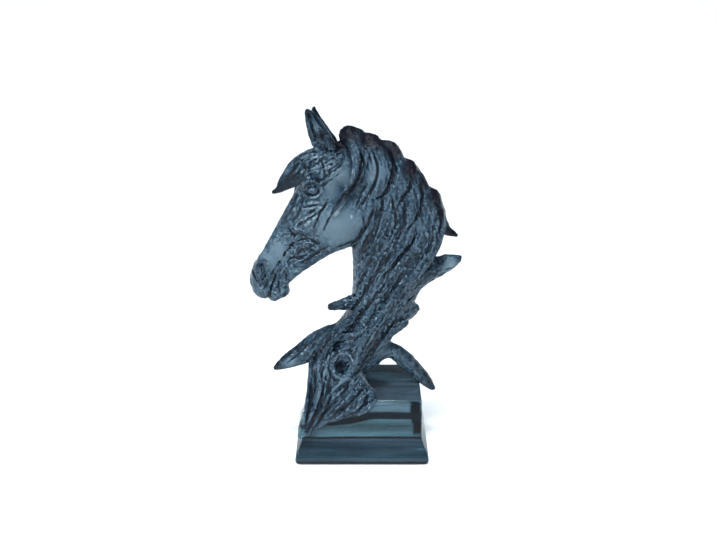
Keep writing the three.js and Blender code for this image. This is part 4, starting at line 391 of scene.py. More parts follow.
def trace(f, rows, rise, side, k, away):
    """a line carved or raised along the skin, broken where the skin falls away"""
    q = spline(rows, 5)
    q[:, 2] = np.maximum(q[:, 2], 0.35)
    run, last, runs = [], None, []
    for x, z, r in q:
        y = f.skin(x, z, side)
        step = 0 if last is None else math.hypot(x - last[0], z - last[2])
        if abs(y) < 0.3 or (last is not None and abs(y - last[1]) > 1.7 * max(step, 0.5)):
            runs.append(run)
            run = []
        if abs(y) >= 0.3:
            run.append((x, y, z, r))
        last = (x, y, z)
    runs.append(run)
    for run in runs:
        if len(run) < 6:
            continue
        out = []
        for i, (x, y, z, r) in enumerate(run):
            end = min(1.0, (min(i, len(run) - 1 - i) + 1) / 3)
            across = max(0.62 * r, 0.35)
            e = rise * (0.35 + 0.65 * end)
            out.append((x, y - side * (across - e) if not away else y + side * (across - e), z, r * (0.6 + 0.4 * end), across))
        f.stroke(out, k, None, away, 1)


def value_noise(x, y, z, seed):
    """smooth lattice noise in -1..1"""
    xi, yi, zi = np.floor(x).astype(np.int64), np.floor(y).astype(np.int64), np.floor(z).astype(np.int64)
    fx, fy, fz = x - xi, y - yi, z - zi
    fx, fy, fz = (t * t * (3 - 2 * t) for t in (fx, fy, fz))

    def corner(a, b, c):
        h = ((xi + a) * 73856093) ^ ((yi + b) * 19349663) ^ ((zi + c) * 83492791) ^ (seed * 2654435761)
        h = (h ^ (h >> 13)) * 1274126177 & 0x7FFFFFFF
        return ((h ^ (h >> 16)) & 0xFFFF) / 32767.5 - 1.0

    def mix(a, b, t):
        return a + (b - a) * t
    low = mix(mix(corner(0, 0, 0), corner(1, 0, 0), fx), mix(corner(0, 1, 0), corner(1, 1, 0), fx), fy)
    high = mix(mix(corner(0, 0, 1), corner(1, 0, 1), fx), mix(corner(0, 1, 1), corner(1, 1, 1), fx), fy)
    return mix(low, high, fz)


def build_field():
    f = Field((-97, -50, 10), (90, 50, 305), CELL)
    far = lambda rows, d: [[q[0] + d[0], -q[1], q[2] + d[1]] + list(q[3:]) for q in rows]
    guides, skins_known = [], False
    for name, s in FORM.items():
        ridge = next((v for w, v in RIDGES.items() if name.startswith(w)), None)
        if s["form"] in ("stroke", "groove"):
            away = s["form"] == "groove"
            f.stroke(s["at"], s["blend"], None if away else ridge, away)
            if s["far"]:
                f.stroke(far(s["at"], s["far"]), s["blend"], None if away else ridge, away)
            if not away and ridge:
                guides.append(np.array([[q[0], q[2]] for q in s["at"]]))
        elif s["form"] == "strand":
            if not skins_known:
                f.learn_skin()
                skins_known = True
            f.strand(s["at"], s["rise"], -1, s["blend"], (4, 0.35, 0.06))
            if s["far"]:
                f.strand([[x + s["far"][0], z + s["far"][1], r] for x, z, r in s["at"]], s["rise"], 1, s["blend"])
            guides.append(np.array([[q[0], q[1]] for q in s["at"]]))
        else:
            for side in ((1, -1) if s["pair"] else (1,)):
                f.oval([s["centre"][0], side * s["centre"][1], s["centre"][2]], s["half"], s["turn"], s["blend"], s["form"] == "hollow")
    f.learn_skin()
    for kind, rise, rows in FOLDS:
        for side in (-1, 1):
            trace(f, rows, rise, side, 0.6, kind == "cut")
    for depth, rows in LOCK_GROOVES:
        trace(f, rows, depth, -1, 1.2, True)
        trace(f, rows, depth * 0.9, 1, 1.2, True)
    f.stroke([[-71.5, -12, 235.5, 1.3, 1.3], [-71.5, 12, 240, 1.3, 1.3]], 0.8, None, True)
    grain(f, guides)
    relief(f)
    np.maximum(f.f, CAST_BASE - f.ax[2][None, None, :], out=f.f)
    return f


def calm(x, z):
    """1 where the surface is left smooth, 0 where it is fully worked"""
    c = 0.0 * x
    for cx, cz, r in SMOOTH:
        c = np.maximum(c, np.exp(-(((x - cx) ** 2 + (z - cz) ** 2) / (r * r)) ** 2))
    return c


def grain(f, guides):
    """fine strands that follow the flow of the locks and roots"""
    p = np.vstack([(g[1:] + g[:-1]) / 2 for g in guides])
    d = np.vstack([(g[1:] - g[:-1]) for g in guides])
    d /= np.linalg.norm(d, axis=1)[:, None]
    d *= np.where(d[:, 1] > 0, -1, 1)[:, None]

    def flow(q):
        w = 1 / (((p - q) ** 2).sum(1) + 16) ** 1.5
        v = (d * w[:, None]).sum(0)
        return v / (np.linalg.norm(v) + 1e-9)

    for _ in range(1500):
        side = -1 if rng.random() < 0.62 else 1
        q = np.array([rng.uniform(-96, -14), rng.uniform(140, 262)])
        if calm(q[0], q[1]) > 0.35 or abs(f.skin(q[0], q[1], side)) < 1.5:
            continue
        hair = q[1] > 238
        v = (flow(q) if hair else np.array([-0.62, -0.78])) + (0.35 if hair else 0.55) * rng.normal(size=2)
        v *= rng.uniform(1.2, 3.2) / np.linalg.norm(v)
        bend = 0.5 * rng.normal() * np.array([-v[1], v[0]])
        path = [q - v, q + bend * 0.5, q + v]
        ys = [f.skin(c[0], c[1], side) for c in path]
        if min(abs(y) for y in ys) < 0.5 or max(abs(np.diff(ys))) > 2.5:
            continue
        r = rng.uniform(0.4, 0.75)
        cut = rng.random() < 0.5
        f.strand([(c[0], c[1], r * s) for c, s in zip(path, (0.5, 1, 0.5))], 0.42 if cut else 0.36, side, 0.35, None, cut, 2)
    made = 0
    for _ in range(14000):
        side = -1 if rng.random() < 0.62 else 1
        q = np.array([rng.uniform(-60, 80), rng.uniform(20, 285)])
        if abs(f.skin(q[0], q[1], side)) < 1.5:
            continue
        head = q[0] < -6 and q[1] > 140 and not (q[1] > 238 and -55 < q[0] < -20)
        mane = q[1] > 205 and q[0] > -8 and rng.random() < 0.6
        low = q[1] < 132
        if head or mane or (low and rng.random() < 0.25) or rng.random() < calm(q[0], q[1]) * 1.3:
            continue
        half = rng.uniform(2, 6.5) if low else rng.uniform(3.5, 12)
        big = rng.random() < (0.05 if low else 0.10)
        rows, r = [], rng.uniform(0.8, 1.3) if big else rng.uniform(0.35, 0.62)
        path = [q]
        for sgn in (-1, 1):
            c = q.copy()
            for _ in range(3):
                v = flow(c)
                v = v + (0.34 if low else 0.16) * rng.normal(size=2)
                c = c + sgn * v / np.linalg.norm(v) * half / 3
                path = [c] + path if sgn < 0 else path + [c]
        ok = True
        ys = [f.skin(c[0], c[1], side) for c in path]
        if min(abs(y) for y in ys) < 0.5 or max(abs(np.diff(ys))) > 3.5:
            ok = False
        if not ok:
            continue
        for i, c in enumerate(path):
            rows.append((c[0], c[1], r * (0.5 if i in (0, len(path) - 1) else 1)))
        if rng.random() < 0.55:
            f.strand(rows, 0.75 if big else 0.36, side, 0.4, None, True, 2)
        else:
            f.strand(rows, 0.5 if big else 0.3, side, 0.5, None, False, 2)
        made += 1
        if made >= 3800:
            break


def relief(f):
    """worked surface: broken ridges in several sizes, calm on cheek, nose and smooth tips"""
    i, j, k = np.nonzero(np.abs(f.f) < 3.0)
    x, y, z = f.ax[0][i].astype(float), f.ax[1][j].astype(float), f.ax[2][k].astype(float)
    still = calm(x, z)
    amp = 1 - 0.88 * still
    head = np.clip((-x - 10) / 12, 0, 1) * np.clip((z - 140) / 10, 0, 1)
    amp *= 1 - 0.15 * head + 0.35 * np.clip((205 - z) / 25, 0, 1) * (1 - head)
    warp = 2.2 * value_noise(x / 9, y / 9, z / 9, 3)
    warp2 = 2.2 * value_noise(x / 9, y / 9, z / 9, 4)
    u, v, w = x + warp, y + warp2, z + warp
    amp *= 1 - 0.35 * np.clip((115 - z) / 15, 0, 1)
    n1 = value_noise(u / 6.5, v / 6.5, w / 8.5, 11)
    n2 = 1 - 2 * np.abs(value_noise(u / 3.4, v / 3.4, w / 4.6, 12))
    n3 = value_noise(u / 1.9, v / 1.9, w / 2.4, 13)
    f.f[i, j, k] += (amp * (0.20 * n1 + 0.26 * n2 + 0.24 * n3)).astype(np.float32)


def surface(f):
    """surface nets, quads facing out"""
    F, n = f.f, f.n
    I = F < 0
    a = I[:-1, :-1, :-1]
    mixed = np.zeros([x - 1 for x in n], bool)
    for c in np.ndindex(2, 2, 2):
        mixed |= I[c[0]:n[0] - 1 + c[0], c[1]:n[1] - 1 + c[1], c[2]:n[2] - 1 + c[2]] != a
    ci, cj, ck = np.nonzero(mixed)
    idx = np.full(mixed.shape, -1, np.int32)
    idx[ci, cj, ck] = np.arange(len(ci))
    corner = {c: F[ci + c[0], cj + c[1], ck + c[2]].astype(float) for c in np.ndindex(2, 2, 2)}
    V, cnt = np.zeros((len(ci), 3)), np.zeros(len(ci))
    for ax in range(3):
        o = [x for x in range(3) if x != ax]
        for b, c in np.ndindex(2, 2):
            p = [0, 0, 0]
            p[o[0]], p[o[1]] = b, c
            q = list(p)
            q[ax] = 1
            f0, f1 = corner[tuple(p)], corner[tuple(q)]
            m = (f0 < 0) != (f1 < 0)
            t = np.where(m, f0 / np.where(m, f0 - f1, 1), 0)
            pos = np.zeros((len(ci), 3))
            pos[:, o[0]], pos[:, o[1]], pos[:, ax] = b, c, t
            V += pos * m[:, None]
            cnt += m
    V = V / cnt[:, None] + np.stack([ci, cj, ck], 1)
    quads = []
    for ax in range(3):
        s0, s1 = [slice(None)] * 3, [slice(None)] * 3
        s0[ax], s1[ax] = slice(0, n[ax] - 1), slice(1, n[ax])
        A, B = I[tuple(s0)], I[tuple(s1)]
        e = np.argwhere(A != B)
        o = [(ax + 1) % 3, (ax + 2) % 3]
        e = e[(e[:, o[0]] > 0) & (e[:, o[1]] > 0) & (e[:, o[0]] < n[o[0]] - 1) & (e[:, o[1]] < n[o[1]] - 1)]
        ins = A[tuple(e.T)]

        def cell(d0, d1):
            g = e.copy()
            g[:, o[0]] -= d0
            g[:, o[1]] -= d1
            return idx[tuple(g.T)]
        q = np.stack([cell(1, 1), cell(0, 1), cell(0, 0), cell(1, 0)], 1)
        quads.append(np.where(ins[:, None], q, q[:, ::-1]))
    return V * f.h + f.lo, np.vstack(quads)


def mesh_object(name, V, faces):
    me = bpy.data.meshes.new(name)
    V = np.asarray(V, float) / 1000
    if isinstance(faces, np.ndarray):
        me.vertices.add(len(V))
        me.vertices.foreach_set("co", V.astype(np.float32).ravel())
        me.loops.add(faces.size)
        me.loops.foreach_set("vertex_index", faces.astype(np.int32).ravel())
        me.polygons.add(len(faces))
        me.polygons.foreach_set("loop_start", np.arange(0, faces.size, faces.shape[1], dtype=np.int32))
    else:
        me.from_pydata(V.tolist(), [], faces)
    me.update(calc_edges=True)
    me.validate()
    ob = bpy.data.objects.new(name, me)
    bpy.context.scene.collection.objects.link(ob)
    return ob


def rounded_ring(wide, deep, z):
    out, hx, hy = [], wide / 2 - CORNER_R, deep / 2 - CORNER_R
    for sx, sy, quarter in ((1, 1, 0), (-1, 1, 1), (-1, -1, 2), (1, -1, 3)):
        for i in range(CORNER_STEPS + 1):
            a = (quarter + i / CORNER_STEPS) * math.pi / 2
            out.append((sx * hx + CORNER_R * math.cos(a), sy * hy + CORNER_R * math.sin(a), z))
    return out


def loft(name, rings):
    n = len(rings[0])
    faces = [tuple(range(n))[::-1], tuple(range((len(rings) - 1) * n, len(rings) * n))]
    for i in range(len(rings) - 1):
        for j in range(n):
            a, b = i * n + j, i * n + (j + 1) % n
            faces.append((a, b, b + n, a + n))
    return mesh_object(name, [p for r in rings for p in r], faces)


def combine(a, b, how):
    m = a.modifiers.new("join", "BOOLEAN")
    m.operation, m.solver, m.object = how, "MANIFOLD", b
    dg = bpy.context.evaluated_depsgraph_get()
    me = bpy.data.meshes.new_from_object(a.evaluated_get(dg))
    a.modifiers.clear()
    if len(me.polygons) < 10:
        raise RuntimeError("the join gave nothing")
    a.data = me
    bpy.data.objects.remove(b)
    return a


def keep_largest(ob):
    """drops specks and closed pockets"""
    me = ob.data
    ne = len(me.edges)
    e = np.empty(ne * 2, np.int32)
    me.edges.foreach_get("vertices", e)
    e = e.reshape(-1, 2)
    lab = np.arange(len(me.vertices))
    while True:
        m = np.minimum(lab[e[:, 0]], lab[e[:, 1]])
        new = lab.copy()
        np.minimum.at(new, e[:, 0], m)
        np.minimum.at(new, e[:, 1], m)
        new = new[new]
        if (new == lab).all():
            break
        lab = new
    ids, counts = np.unique(lab, return_counts=True)
    if len(ids) > 1:
        import bmesh
        keep = ids[counts.argmax()]
        bm = bmesh.new()
        bm.from_mesh(me)
        bm.verts.ensure_lookup_table()
        bmesh.ops.delete(bm, geom=[v for v in bm.verts if lab[v.index] != keep], context="VERTS")
        bm.to_mesh(me)
        bm.free()


def reduce_to(ob, faces):
    me = ob.data
    tris = sum(len(p.vertices) - 2 for p in me.polygons)
    if tris > faces:
        m = ob.modifiers.new("fewer", "DECIMATE")
        m.ratio = faces / tris
        dg = bpy.context.evaluated_depsgraph_get()
        new = bpy.data.meshes.new_from_object(ob.evaluated_get(dg))
        ob.modifiers.clear()
        ob.data = new


def crowding(f, radius):
    """share of solid in the neighbourhood: over a half in hollows, under a half on ridges and rims"""
    x, y, z = f.coords((slice(None),) * 3)
    slab = (np.abs(x) < BLOCK_X / 2) & (np.abs(y) < BLOCK_Y / 2) & (z < PLINTH_H) & ((x > -WRAP_X) | (z < WRAP_FROM))
    occ = np.clip(0.5 - f.f / (1.6 * f.h), 0, 1)
    occ[slab | (z < CAST_BASE) & (occ >= 0)] = 1
    n = max(1, int(round(radius / f.h / 1.6)))
    for _ in range(2):
        for ax in range(3):
            c = np.cumsum(np.pad(occ, [(n + 1, n) if i == ax else (0, 0) for i in range(3)], mode="edge"), axis=ax, dtype=np.float32)
            hi = [slice(None)] * 3
            lo = [slice(None)] * 3
            hi[ax], lo[ax] = slice(2 * n + 1, None), slice(0, -(2 * n + 1))
            occ = (c[tuple(hi)] - c[tuple(lo)]) / (2 * n + 1)
    return occ


def look_up(f, grid, p):
    """value between the grid points"""
    g = [np.clip((p[:, a] - f.lo[a]) / f.h, 0, f.n[a] - 1.001) for a in range(3)]
    i = [v.astype(int) for v in g]
    w = [v - j for v, j in zip(g, i)]
    out = np.zeros(len(p))
    for a, b, c in np.ndindex(2, 2, 2):
        out += grid[i[0] + a, i[1] + b, i[2] + c] * np.abs(1 - a - w[0]) * np.abs(1 - b - w[1]) * np.abs(1 - c - w[2])
    return out


def marks(ob, f):
    """per-vertex shade value (0 dark, 1 light): painted shade in hollows, grooves, recesses and on rims, painted
    highlights on ridges and painted glints, with the casting's own lighter and darker passages and specks; and the tint
    of the crest
    """
    me = ob.data
    co = np.empty(len(me.vertices) * 3, np.float32)
    me.vertices.foreach_get("co", co)
    co = co.reshape(-1, 3).astype(float) * 1000
    x, z = co[:, 0], co[:, 2]
    fine = np.clip((look_up(f, crowding(f, 1.3), co) - 0.5) / 0.16, -1, 1)
    wide = np.clip((look_up(f, crowding(f, 6.0), co) - 0.5) / 0.38, -1, 1)
    plain = calm(x, z)
    # painted shade in hollows and deep recesses, painted highlight on ridges, painted shade along convex rims; smooth
    # areas set lighter
    tone_and_painted_light = 0.50 + 0.165 * plain - HOLLOW_PAINTED_SHADE * np.maximum(fine, 0) + RIDGE_PAINTED_HIGHLIGHT * np.maximum(-fine, 0)
    tone_and_painted_light += -0.32 * np.maximum(wide, 0) - RIM_PAINTED_SHADE * np.clip((-wide - 0.35) / 0.55, 0, 1)
    # painted shade, painted light and painted glints, with the casting's own lighter and darker passages
    for cx, cz, r, d in PAINTED_LIGHT_AND_TONES:
        tone_and_painted_light += d * np.exp(-((x - cx) ** 2 + (z - cz) ** 2) / (r * r))
    # painted shade along the lock grooves and carved cuts, painted highlight along the raised folds
    for gain, rows, grow in [(-0.34 - 0.05 * d, r, 1.0) for d, r in LOCK_GROOVES] + [(-0.30 if k == "cut" else 0.12, r, 0.8) for k, d, r in FOLDS]:
        q = spline([(a, b, w) for a, b, w in rows], 6)
        near = (x > q[:, 0].min() - 4) & (x < q[:, 0].max() + 4) & (z > q[:, 1].min() - 4) & (z < q[:, 1].max() + 4)
        i = np.nonzero(near)[0]
        if len(i) == 0:
            continue
        dd = np.hypot(x[i, None] - q[None, :, 0], z[i, None] - q[None, :, 1])
        j = dd.argmin(1)
        w = grow * q[j, 2] * 0.95 + 0.15
        tone_and_painted_light[i] += gain * np.exp(-(dd[np.arange(len(i)), j] / w) ** 2) * np.clip(np.abs(co[i, 1]) / 3, 0, 1)
    y = co[:, 1]
    face = np.clip((-x - 6) / 6, 0, 1) * np.clip((z - 138) / 6, 0, 1) * (1 - plain)
    speck = value_noise(x / 1.15, y / 1.15, z / 1.15, 61) + 0.7 * value_noise(x / 2.3, y / 2.3, z / 2.3, 62)
    tone_and_painted_light += 0.17 * face * speck + 0.05 * (1 - face) * (1 - plain) * speck
    crest = np.zeros(len(co))
    for cx, cz, r in CREST:
        crest = np.maximum(crest, np.exp(-(((x - cx) ** 2 + (z - cz) ** 2) / (r * r)) ** 1.5))
    for name, v in (("tone_and_painted_light", np.clip(tone_and_painted_light - 0.42 * crest, 0, 1)), ("crest", crest), ("plain", plain)):
        at = me.attributes.new(name, "FLOAT", "POINT")
        at.data.foreach_set("value", v.astype(np.float32))


field = build_field()
V, Q = surface(field)
body = mesh_object("casting", V, Q)
keep_largest(body)
plinth = loft("plinth", [rounded_ring(BLOCK_X + 2 * o, BLOCK_Y + 2 * o, z) for o, z in PROFILE])
back = [(-BLOCK_X, WRAP_FROM), (-BLOCK_X / 2 + 0.01, WRAP_FROM), (-WRAP_X, WRAP_FROM + 12), (-WRAP_X, PLINTH_H + 2), (-BLOCK_X, PLINTH_H + 2)]
wedge = loft("wedge", [[(x, y, z) for x, z in back] for y in (BLOCK_Y, -BLOCK_Y)])
combine(plinth, wedge, "DIFFERENCE")
combine(body, plinth, "UNION")
keep_largest(body)
reduce_to(body, 192000)
marks(body, field)
body.data.polygons.foreach_set("use_smooth", [True] * len(body.data.polygons))
body.data.set_sharp_from_angle(angle=math.radians(55))

def node(tree, kind, at=(0, 0), **plain):
    n = tree.nodes.new(kind)
    n.location = at
    for k, v in plain.items():
        setattr(n, k, v)
    return n


def crystal(name, transmission, ior, stops, rough, bump, fleck, painted_light_bands):
    """dyed translucent casting: colour by the per-vertex value that carries painted shade and painted highlights as
    well as the casting's own passages, crest tint and cloudy noise; on the plinth, painted stripes of refracted light
    and shade instead; fine worked bump
    """
    m = bpy.data.materials.new(name)
    m.use_nodes = True
    t = m.node_tree
    p = t.nodes["Principled BSDF"]
    link = t.links.new
    where = node(t, "ShaderNodeTexCoord")
    cloud = node(t, "ShaderNodeTexNoise")
    cloud.inputs["Scale"].default_value = 45
    cloud.inputs["Detail"].default_value = 7
    cloud.inputs["Roughness"].default_value = 0.62
    cloud.inputs["Distortion"].default_value = 0.2
    link(where.outputs["Object"], cloud.inputs["Vector"])
    tone_and_painted_light = node(t, "ShaderNodeAttribute", attribute_name="tone_and_painted_light")
    crest = node(t, "ShaderNodeAttribute", attribute_name="crest")
    sway = node(t, "ShaderNodeMath", operation="MULTIPLY_ADD")
    link(cloud.outputs["Fac"], sway.inputs[0])
    sway.inputs[1].default_value = 0.10
    sway.inputs[2].default_value = -0.05
    fine = node(t, "ShaderNodeTexNoise")
    fine.inputs["Scale"].default_value = 430
    fine.inputs["Detail"].default_value = 6
    fine.inputs["Roughness"].default_value = 0.7
    fine.inputs["Distortion"].default_value = 0.3
    link(where.outputs["Object"], fine.inputs["Vector"])
    plain = node(t, "ShaderNodeAttribute", attribute_name="plain")
    keep = node(t, "ShaderNodeMapRange")
    keep.inputs["To Min"].default_value, keep.inputs["To Max"].default_value = fleck, fleck * 0.12
    link(plain.outputs["Fac"], keep.inputs["Value"])
    centred = node(t, "ShaderNodeMath", operation="SUBTRACT")
    link(fine.outputs["Fac"], centred.inputs[0])
    centred.inputs[1].default_value = 0.52
    flecks = node(t, "ShaderNodeMath", operation="MULTIPLY_ADD")
    link(centred.outputs[0], flecks.inputs[0])
    link(keep.outputs["Result"], flecks.inputs[1])
    link(sway.outputs[0], flecks.inputs[2])
    shade = node(t, "ShaderNodeMath", operation="ADD")
    link(tone_and_painted_light.outputs["Fac"], shade.inputs[0])
    link(flecks.outputs[0], shade.inputs[1])
    ramp = node(t, "ShaderNodeValToRGB")
    e = ramp.color_ramp.elements
    e[0].position, e[0].color = stops[0][0], (*stops[0][1], 1)
    e[1].position, e[1].color = stops[-1][0], (*stops[-1][1], 1)
    for at, colour in stops[1:-1]:
        ramp.color_ramp.elements.new(at).color = (*colour, 1)
    link(shade.outputs[0], ramp.inputs["Fac"])
    tint = node(t, "ShaderNodeMix", data_type="RGBA")
    half = node(t, "ShaderNodeMath", operation="MULTIPLY")
    mottle = node(t, "ShaderNodeMapRange")
    mottle.inputs["From Min"].default_value, mottle.inputs["From Max"].default_value = 0.46, 0.64
    mottle.inputs["To Min"].default_value, mottle.inputs["To Max"].default_value = 1.0, 0.80
    link(fine.outputs["Fac"], mottle.inputs["Value"])
    link(mottle.outputs["Result"], half.inputs[1])
    link(crest.outputs["Fac"], half.inputs[0])
    link(half.outputs[0], tint.inputs[0])
    link(ramp.outputs["Color"], tint.inputs[6])
    tint.inputs[7].default_value = (0.0045, 0.0036, 0.0085, 1)
    last = tint.outputs[2]
    # the plinth's colour is painted light: stripes of refracted and reflected light and shade by height
    if painted_light_bands:
        split = node(t, "ShaderNodeSeparateXYZ")
        link(where.outputs["Object"], split.inputs[0])
        long = node(t, "ShaderNodeMapping")
        long.inputs["Scale"].default_value = (7, 42, 95)
        link(where.outputs["Object"], long.inputs["Vector"])
        drift = node(t, "ShaderNodeTexNoise")
        drift.inputs["Scale"].default_value = 1.6
        drift.inputs["Detail"].default_value = 3
        drift.inputs["Distortion"].default_value = 0.6
        link(long.outputs["Vector"], drift.inputs["Vector"])
        wave = node(t, "ShaderNodeMath", operation="MULTIPLY_ADD")
        link(cloud.outputs["Fac"], wave.inputs[0])
        wave.inputs[1].default_value = 0.0016
        link(split.outputs["Z"], wave.inputs[2])
        # painted stripes of refracted and reflected light and shade by height, with a painted shadow stripe under the
        # spill; the stripes above the flare dip towards the left, along the spill
        dips = []
        for axis, lo, hi, top in (("X", 0.007, -0.024, 0.0088), ("Z", 0.028, 0.038, 1.0)):
            slope = node(t, "ShaderNodeMapRange")
            slope.inputs["From Min"].default_value, slope.inputs["From Max"].default_value = lo, hi
            slope.inputs["To Max"].default_value = top
            link(split.outputs[axis], slope.inputs["Value"])
            dips.append(slope.outputs["Result"])
        dip = node(t, "ShaderNodeMath", operation="MULTIPLY_ADD")
        link(dips[0], dip.inputs[0])
        link(dips[1], dip.inputs[1])
        link(wave.outputs[0], dip.inputs[2])
        up = node(t, "ShaderNodeMapRange")
        up.inputs["From Max"].default_value = 0.060
        link(dip.outputs[0], up.inputs["Value"])
        ladder = node(t, "ShaderNodeValToRGB")
        k = ladder.color_ramp.elements
        k[0].position, k[0].color = painted_light_bands[0][0], (*painted_light_bands[0][1], 1)
        k[1].position, k[1].color = painted_light_bands[-1][0], (*painted_light_bands[-1][1], 1)
        for at, colour in painted_light_bands[1:-1]:
            ladder.color_ramp.elements.new(at).color = (*colour, 1)
        link(up.outputs["Result"], ladder.inputs["Fac"])
        veil = node(t, "ShaderNodeMapRange")
        veil.inputs["From Min"].default_value, veil.inputs["From Max"].default_value = 0.3, 0.7
        veil.inputs["To Min"].default_value, veil.inputs["To Max"].default_value = 0.5, 1.45
        link(drift.outputs["Fac"], veil.inputs["Value"])
        streak = node(t, "ShaderNodeVectorMath", operation="SCALE")
        link(ladder.outputs["Color"], streak.inputs[0])
        link(veil.outputs["Result"], streak.inputs["Scale"])
        last = streak.outputs[0]
        # a near-black upright strip beside the right-hand edge of the front: painted refraction shade in the glass
        masks = []
        for axis, lo, hi in (("X", 0.0490, 0.0512), ("Y", -0.0382, -0.0388), ("Z", 0.0235, 0.0285)):
            edge = node(t, "ShaderNodeMapRange")
            edge.inputs["From Min"].default_value, edge.inputs["From Max"].default_value = lo, hi
            if axis == "X":
                ripple = node(t, "ShaderNodeMath", operation="MULTIPLY_ADD")
                link(drift.outputs["Fac"], ripple.inputs[0])
                ripple.inputs[1].default_value = 0.007
                lean = node(t, "ShaderNodeMath", operation="MULTIPLY_ADD")
                link(split.outputs["Z"], lean.inputs[0])
                lean.inputs[1].default_value = 0.11
                link(split.outputs[axis], lean.inputs[2])
                link(lean.outputs[0], ripple.inputs[2])
                link(ripple.outputs[0], edge.inputs["Value"])
            else:
                link(split.outputs[axis], edge.inputs["Value"])
            masks.append(edge.outputs["Result"])
        both = node(t, "ShaderNodeMath", operation="MULTIPLY")
        link(masks[0], both.inputs[0])
        link(masks[1], both.inputs[1])
        strip = node(t, "ShaderNodeMath", operation="MULTIPLY")
        link(both.outputs[0], strip.inputs[0])
        link(masks[2], strip.inputs[1])
        strip_painted_shade = node(t, "ShaderNodeMix", data_type="RGBA")
        link(strip.outputs[0], strip_painted_shade.inputs[0])
        link(last, strip_painted_shade.inputs[6])
        strip_painted_shade.inputs[7].default_value = (0.002, 0.005, 0.009, 1)
        last = strip_painted_shade.outputs[2]
    link(last, p.inputs["Base Color"])
    r = node(t, "ShaderNodeMapRange")
    r.inputs["To Min"].default_value, r.inputs["To Max"].default_value = rough
    link(fine.outputs["Fac"], r.inputs["Value"])
    link(r.outputs["Result"], p.inputs["Roughness"])
    b = node(t, "ShaderNodeBump")
    b.inputs["Strength"].default_value = bump
    b.inputs["Distance"].default_value = 0.0010
    link(fine.outputs["Fac"], b.inputs["Height"])
    link(b.outputs["Normal"], p.inputs["Normal"])
    p.inputs["Transmission Weight"].default_value = transmission
    p.inputs["IOR"].default_value = ior
    p.inputs["Specular IOR Level"].default_value = 0.14
    return m


worked = crystal("dyed_crystal_painted_shade", 0.45, 1.3,
                 [(0.10, (0.003, 0.006, 0.011)), (0.32, (0.013, 0.028, 0.044)), (0.54, (0.047, 0.082, 0.116)), (0.78, (0.128, 0.186, 0.224)), (1.0, (0.32, 0.41, 0.45))],
                 (0.03, 0.11), 0.6, 0.85, None)
# plinth colours: deep is the painted shade of the dark stripes and of the shadow under the spill, pale the painted
# reflected light near the top of the block
foot, teal, deep, pale = (0.056, 0.098, 0.134), (0.088, 0.196, 0.244), (0.002, 0.006, 0.012), (0.125, 0.222, 0.275)
clear = crystal("plinth_crystal_painted_light", 0.75, 1.25, [(0.1, teal), (0.9, pale)], (0.015, 0.05), 0.02, 0.0,
                [(0.0, deep), (0.06, deep), (0.09, foot), (0.12, foot), (0.17, (0.045, 0.092, 0.125)), (0.23, foot), (0.385, foot), (0.395, deep), (0.415, deep), (0.43, teal),
                 (0.68, teal), (0.70, deep), (0.79, deep), (0.82, pale), (0.965, pale), (0.974, (0.100, 0.155, 0.205))])
body.data.materials.clear()
body.data.materials.append(worked)
body.data.materials.append(clear)
# the plinth's own faces: flat block, flare and foot
centre = np.empty(len(body.data.polygons) * 3, np.float32)
body.data.polygons.foreach_get("center", centre)
centre = centre.reshape(-1, 3) * 1000
prof_z = np.array([z for o, z in PROFILE], float)
prof_o = np.array([o for o, z in PROFILE], float)
out = np.interp(centre[:, 2], prof_z, prof_o)
gap_x, gap_y = BLOCK_X / 2 + out - np.abs(centre[:, 0]), BLOCK_Y / 2 + out - np.abs(centre[:, 1])
on_plinth = (np.minimum(gap_x, gap_y) < 0.12) & (np.minimum(gap_x, gap_y) > -0.3) & (centre[:, 2] < PLINTH_H + 0.02)
corner = (gap_x < CORNER_R) & (gap_y < CORNER_R) & (np.hypot(CORNER_R - gap_x, CORNER_R - gap_y) > CORNER_R - 0.15)
on_plinth |= corner & (centre[:, 2] < PLINTH_H + 0.02)
on_plinth |= (np.abs(centre[:, 2] - PLINTH_H) < 0.02) | (centre[:, 2] < 0.02)
body.data.polygons.foreach_set("material_index", on_plinth.astype(np.int32))


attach(body, "root")
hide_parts("horse_head_sculpture")

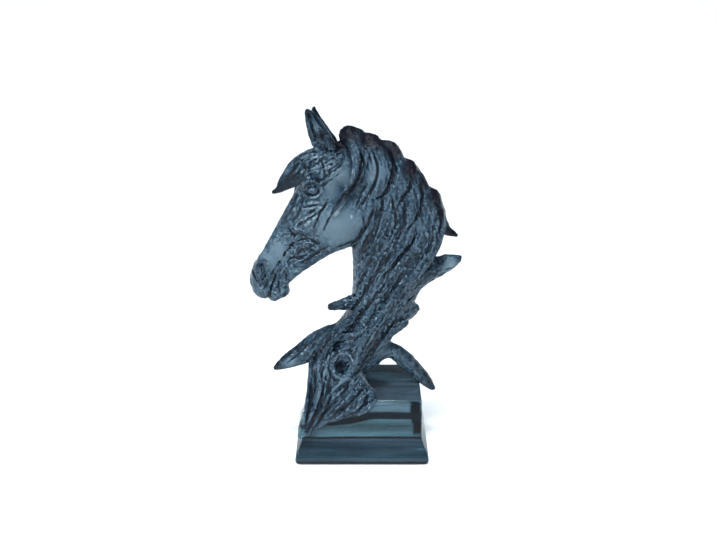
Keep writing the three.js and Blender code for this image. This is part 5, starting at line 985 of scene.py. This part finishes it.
# floor, light and camera
floor = mesh_object("floor", [(-9000, -9000, -0.05), (9000, -9000, -0.05), (9000, 9000, -0.05), (-9000, 9000, -0.05)], [(0, 1, 2, 3)])
paper = bpy.data.materials.new("paper")
paper.use_nodes = True
paper.node_tree.nodes["Principled BSDF"].inputs["Base Color"].default_value = (0.97, 0.97, 0.97, 1)
paper.node_tree.nodes["Principled BSDF"].inputs["Roughness"].default_value = 0.9
floor.data.materials.append(paper)


def area(name, at, power, size, aim=(0, 0, 0.15)):
    light = bpy.data.lights.new(name, "AREA")
    light.energy, light.size = power, size
    light.color = (0.88, 0.95, 1)
    ob = bpy.data.objects.new(name, light)
    bpy.context.scene.collection.objects.link(ob)
    ob.location = at
    ob.rotation_euler = (Vector(aim) - Vector(at)).to_track_quat("-Z", "Y").to_euler()


area("key", (-0.75, -0.85, 0.75), 12 * 1.3, 0.13)
area("side", (1.0, -0.35, 0.6), 12 * 0.5, 0.11)
area("high", (-0.15, -0.5, 1.25), 12 * 0.3, 0.09)
area("low", (-0.9, -0.3, 0.25), 12 * 0.4, 0.08, (0, 0, 0.12))
sun = bpy.data.lights.new("sky", "SUN")
sun.energy, sun.angle = 3.2, math.radians(22)
sun.color = (0.90, 0.96, 1)
sky = bpy.data.objects.new("sky", sun)
bpy.context.scene.collection.objects.link(sky)
sky.rotation_euler = Vector((-0.02, 0.3, -1)).to_track_quat("-Z", "Y").to_euler()
world = bpy.data.worlds.new("studio")
bpy.context.scene.world = world
world.use_nodes = True
world.node_tree.nodes["Background"].inputs[0].default_value = (0.74, 0.87, 1, 1)
world.node_tree.nodes["Background"].inputs[1].default_value = 0.24

TARGET, TILT, FAR = Vector((-0.0034, 0, 0.1610)), math.radians(19), 1.0
cam = bpy.data.cameras.new("camera")
cam.sensor_width, cam.lens = 36, FAR / 0.000846 * 36 / 716
eye = bpy.data.objects.new("camera", cam)
bpy.context.scene.collection.objects.link(eye)
behind = Vector((0, -math.cos(TILT), math.sin(TILT)))
eye.location = TARGET + behind * FAR
eye.rotation_euler = (-behind).to_track_quat("-Z", "Y").to_euler()
bpy.context.scene.camera = eye
bpy.context.scene.view_settings.view_transform = "Standard"
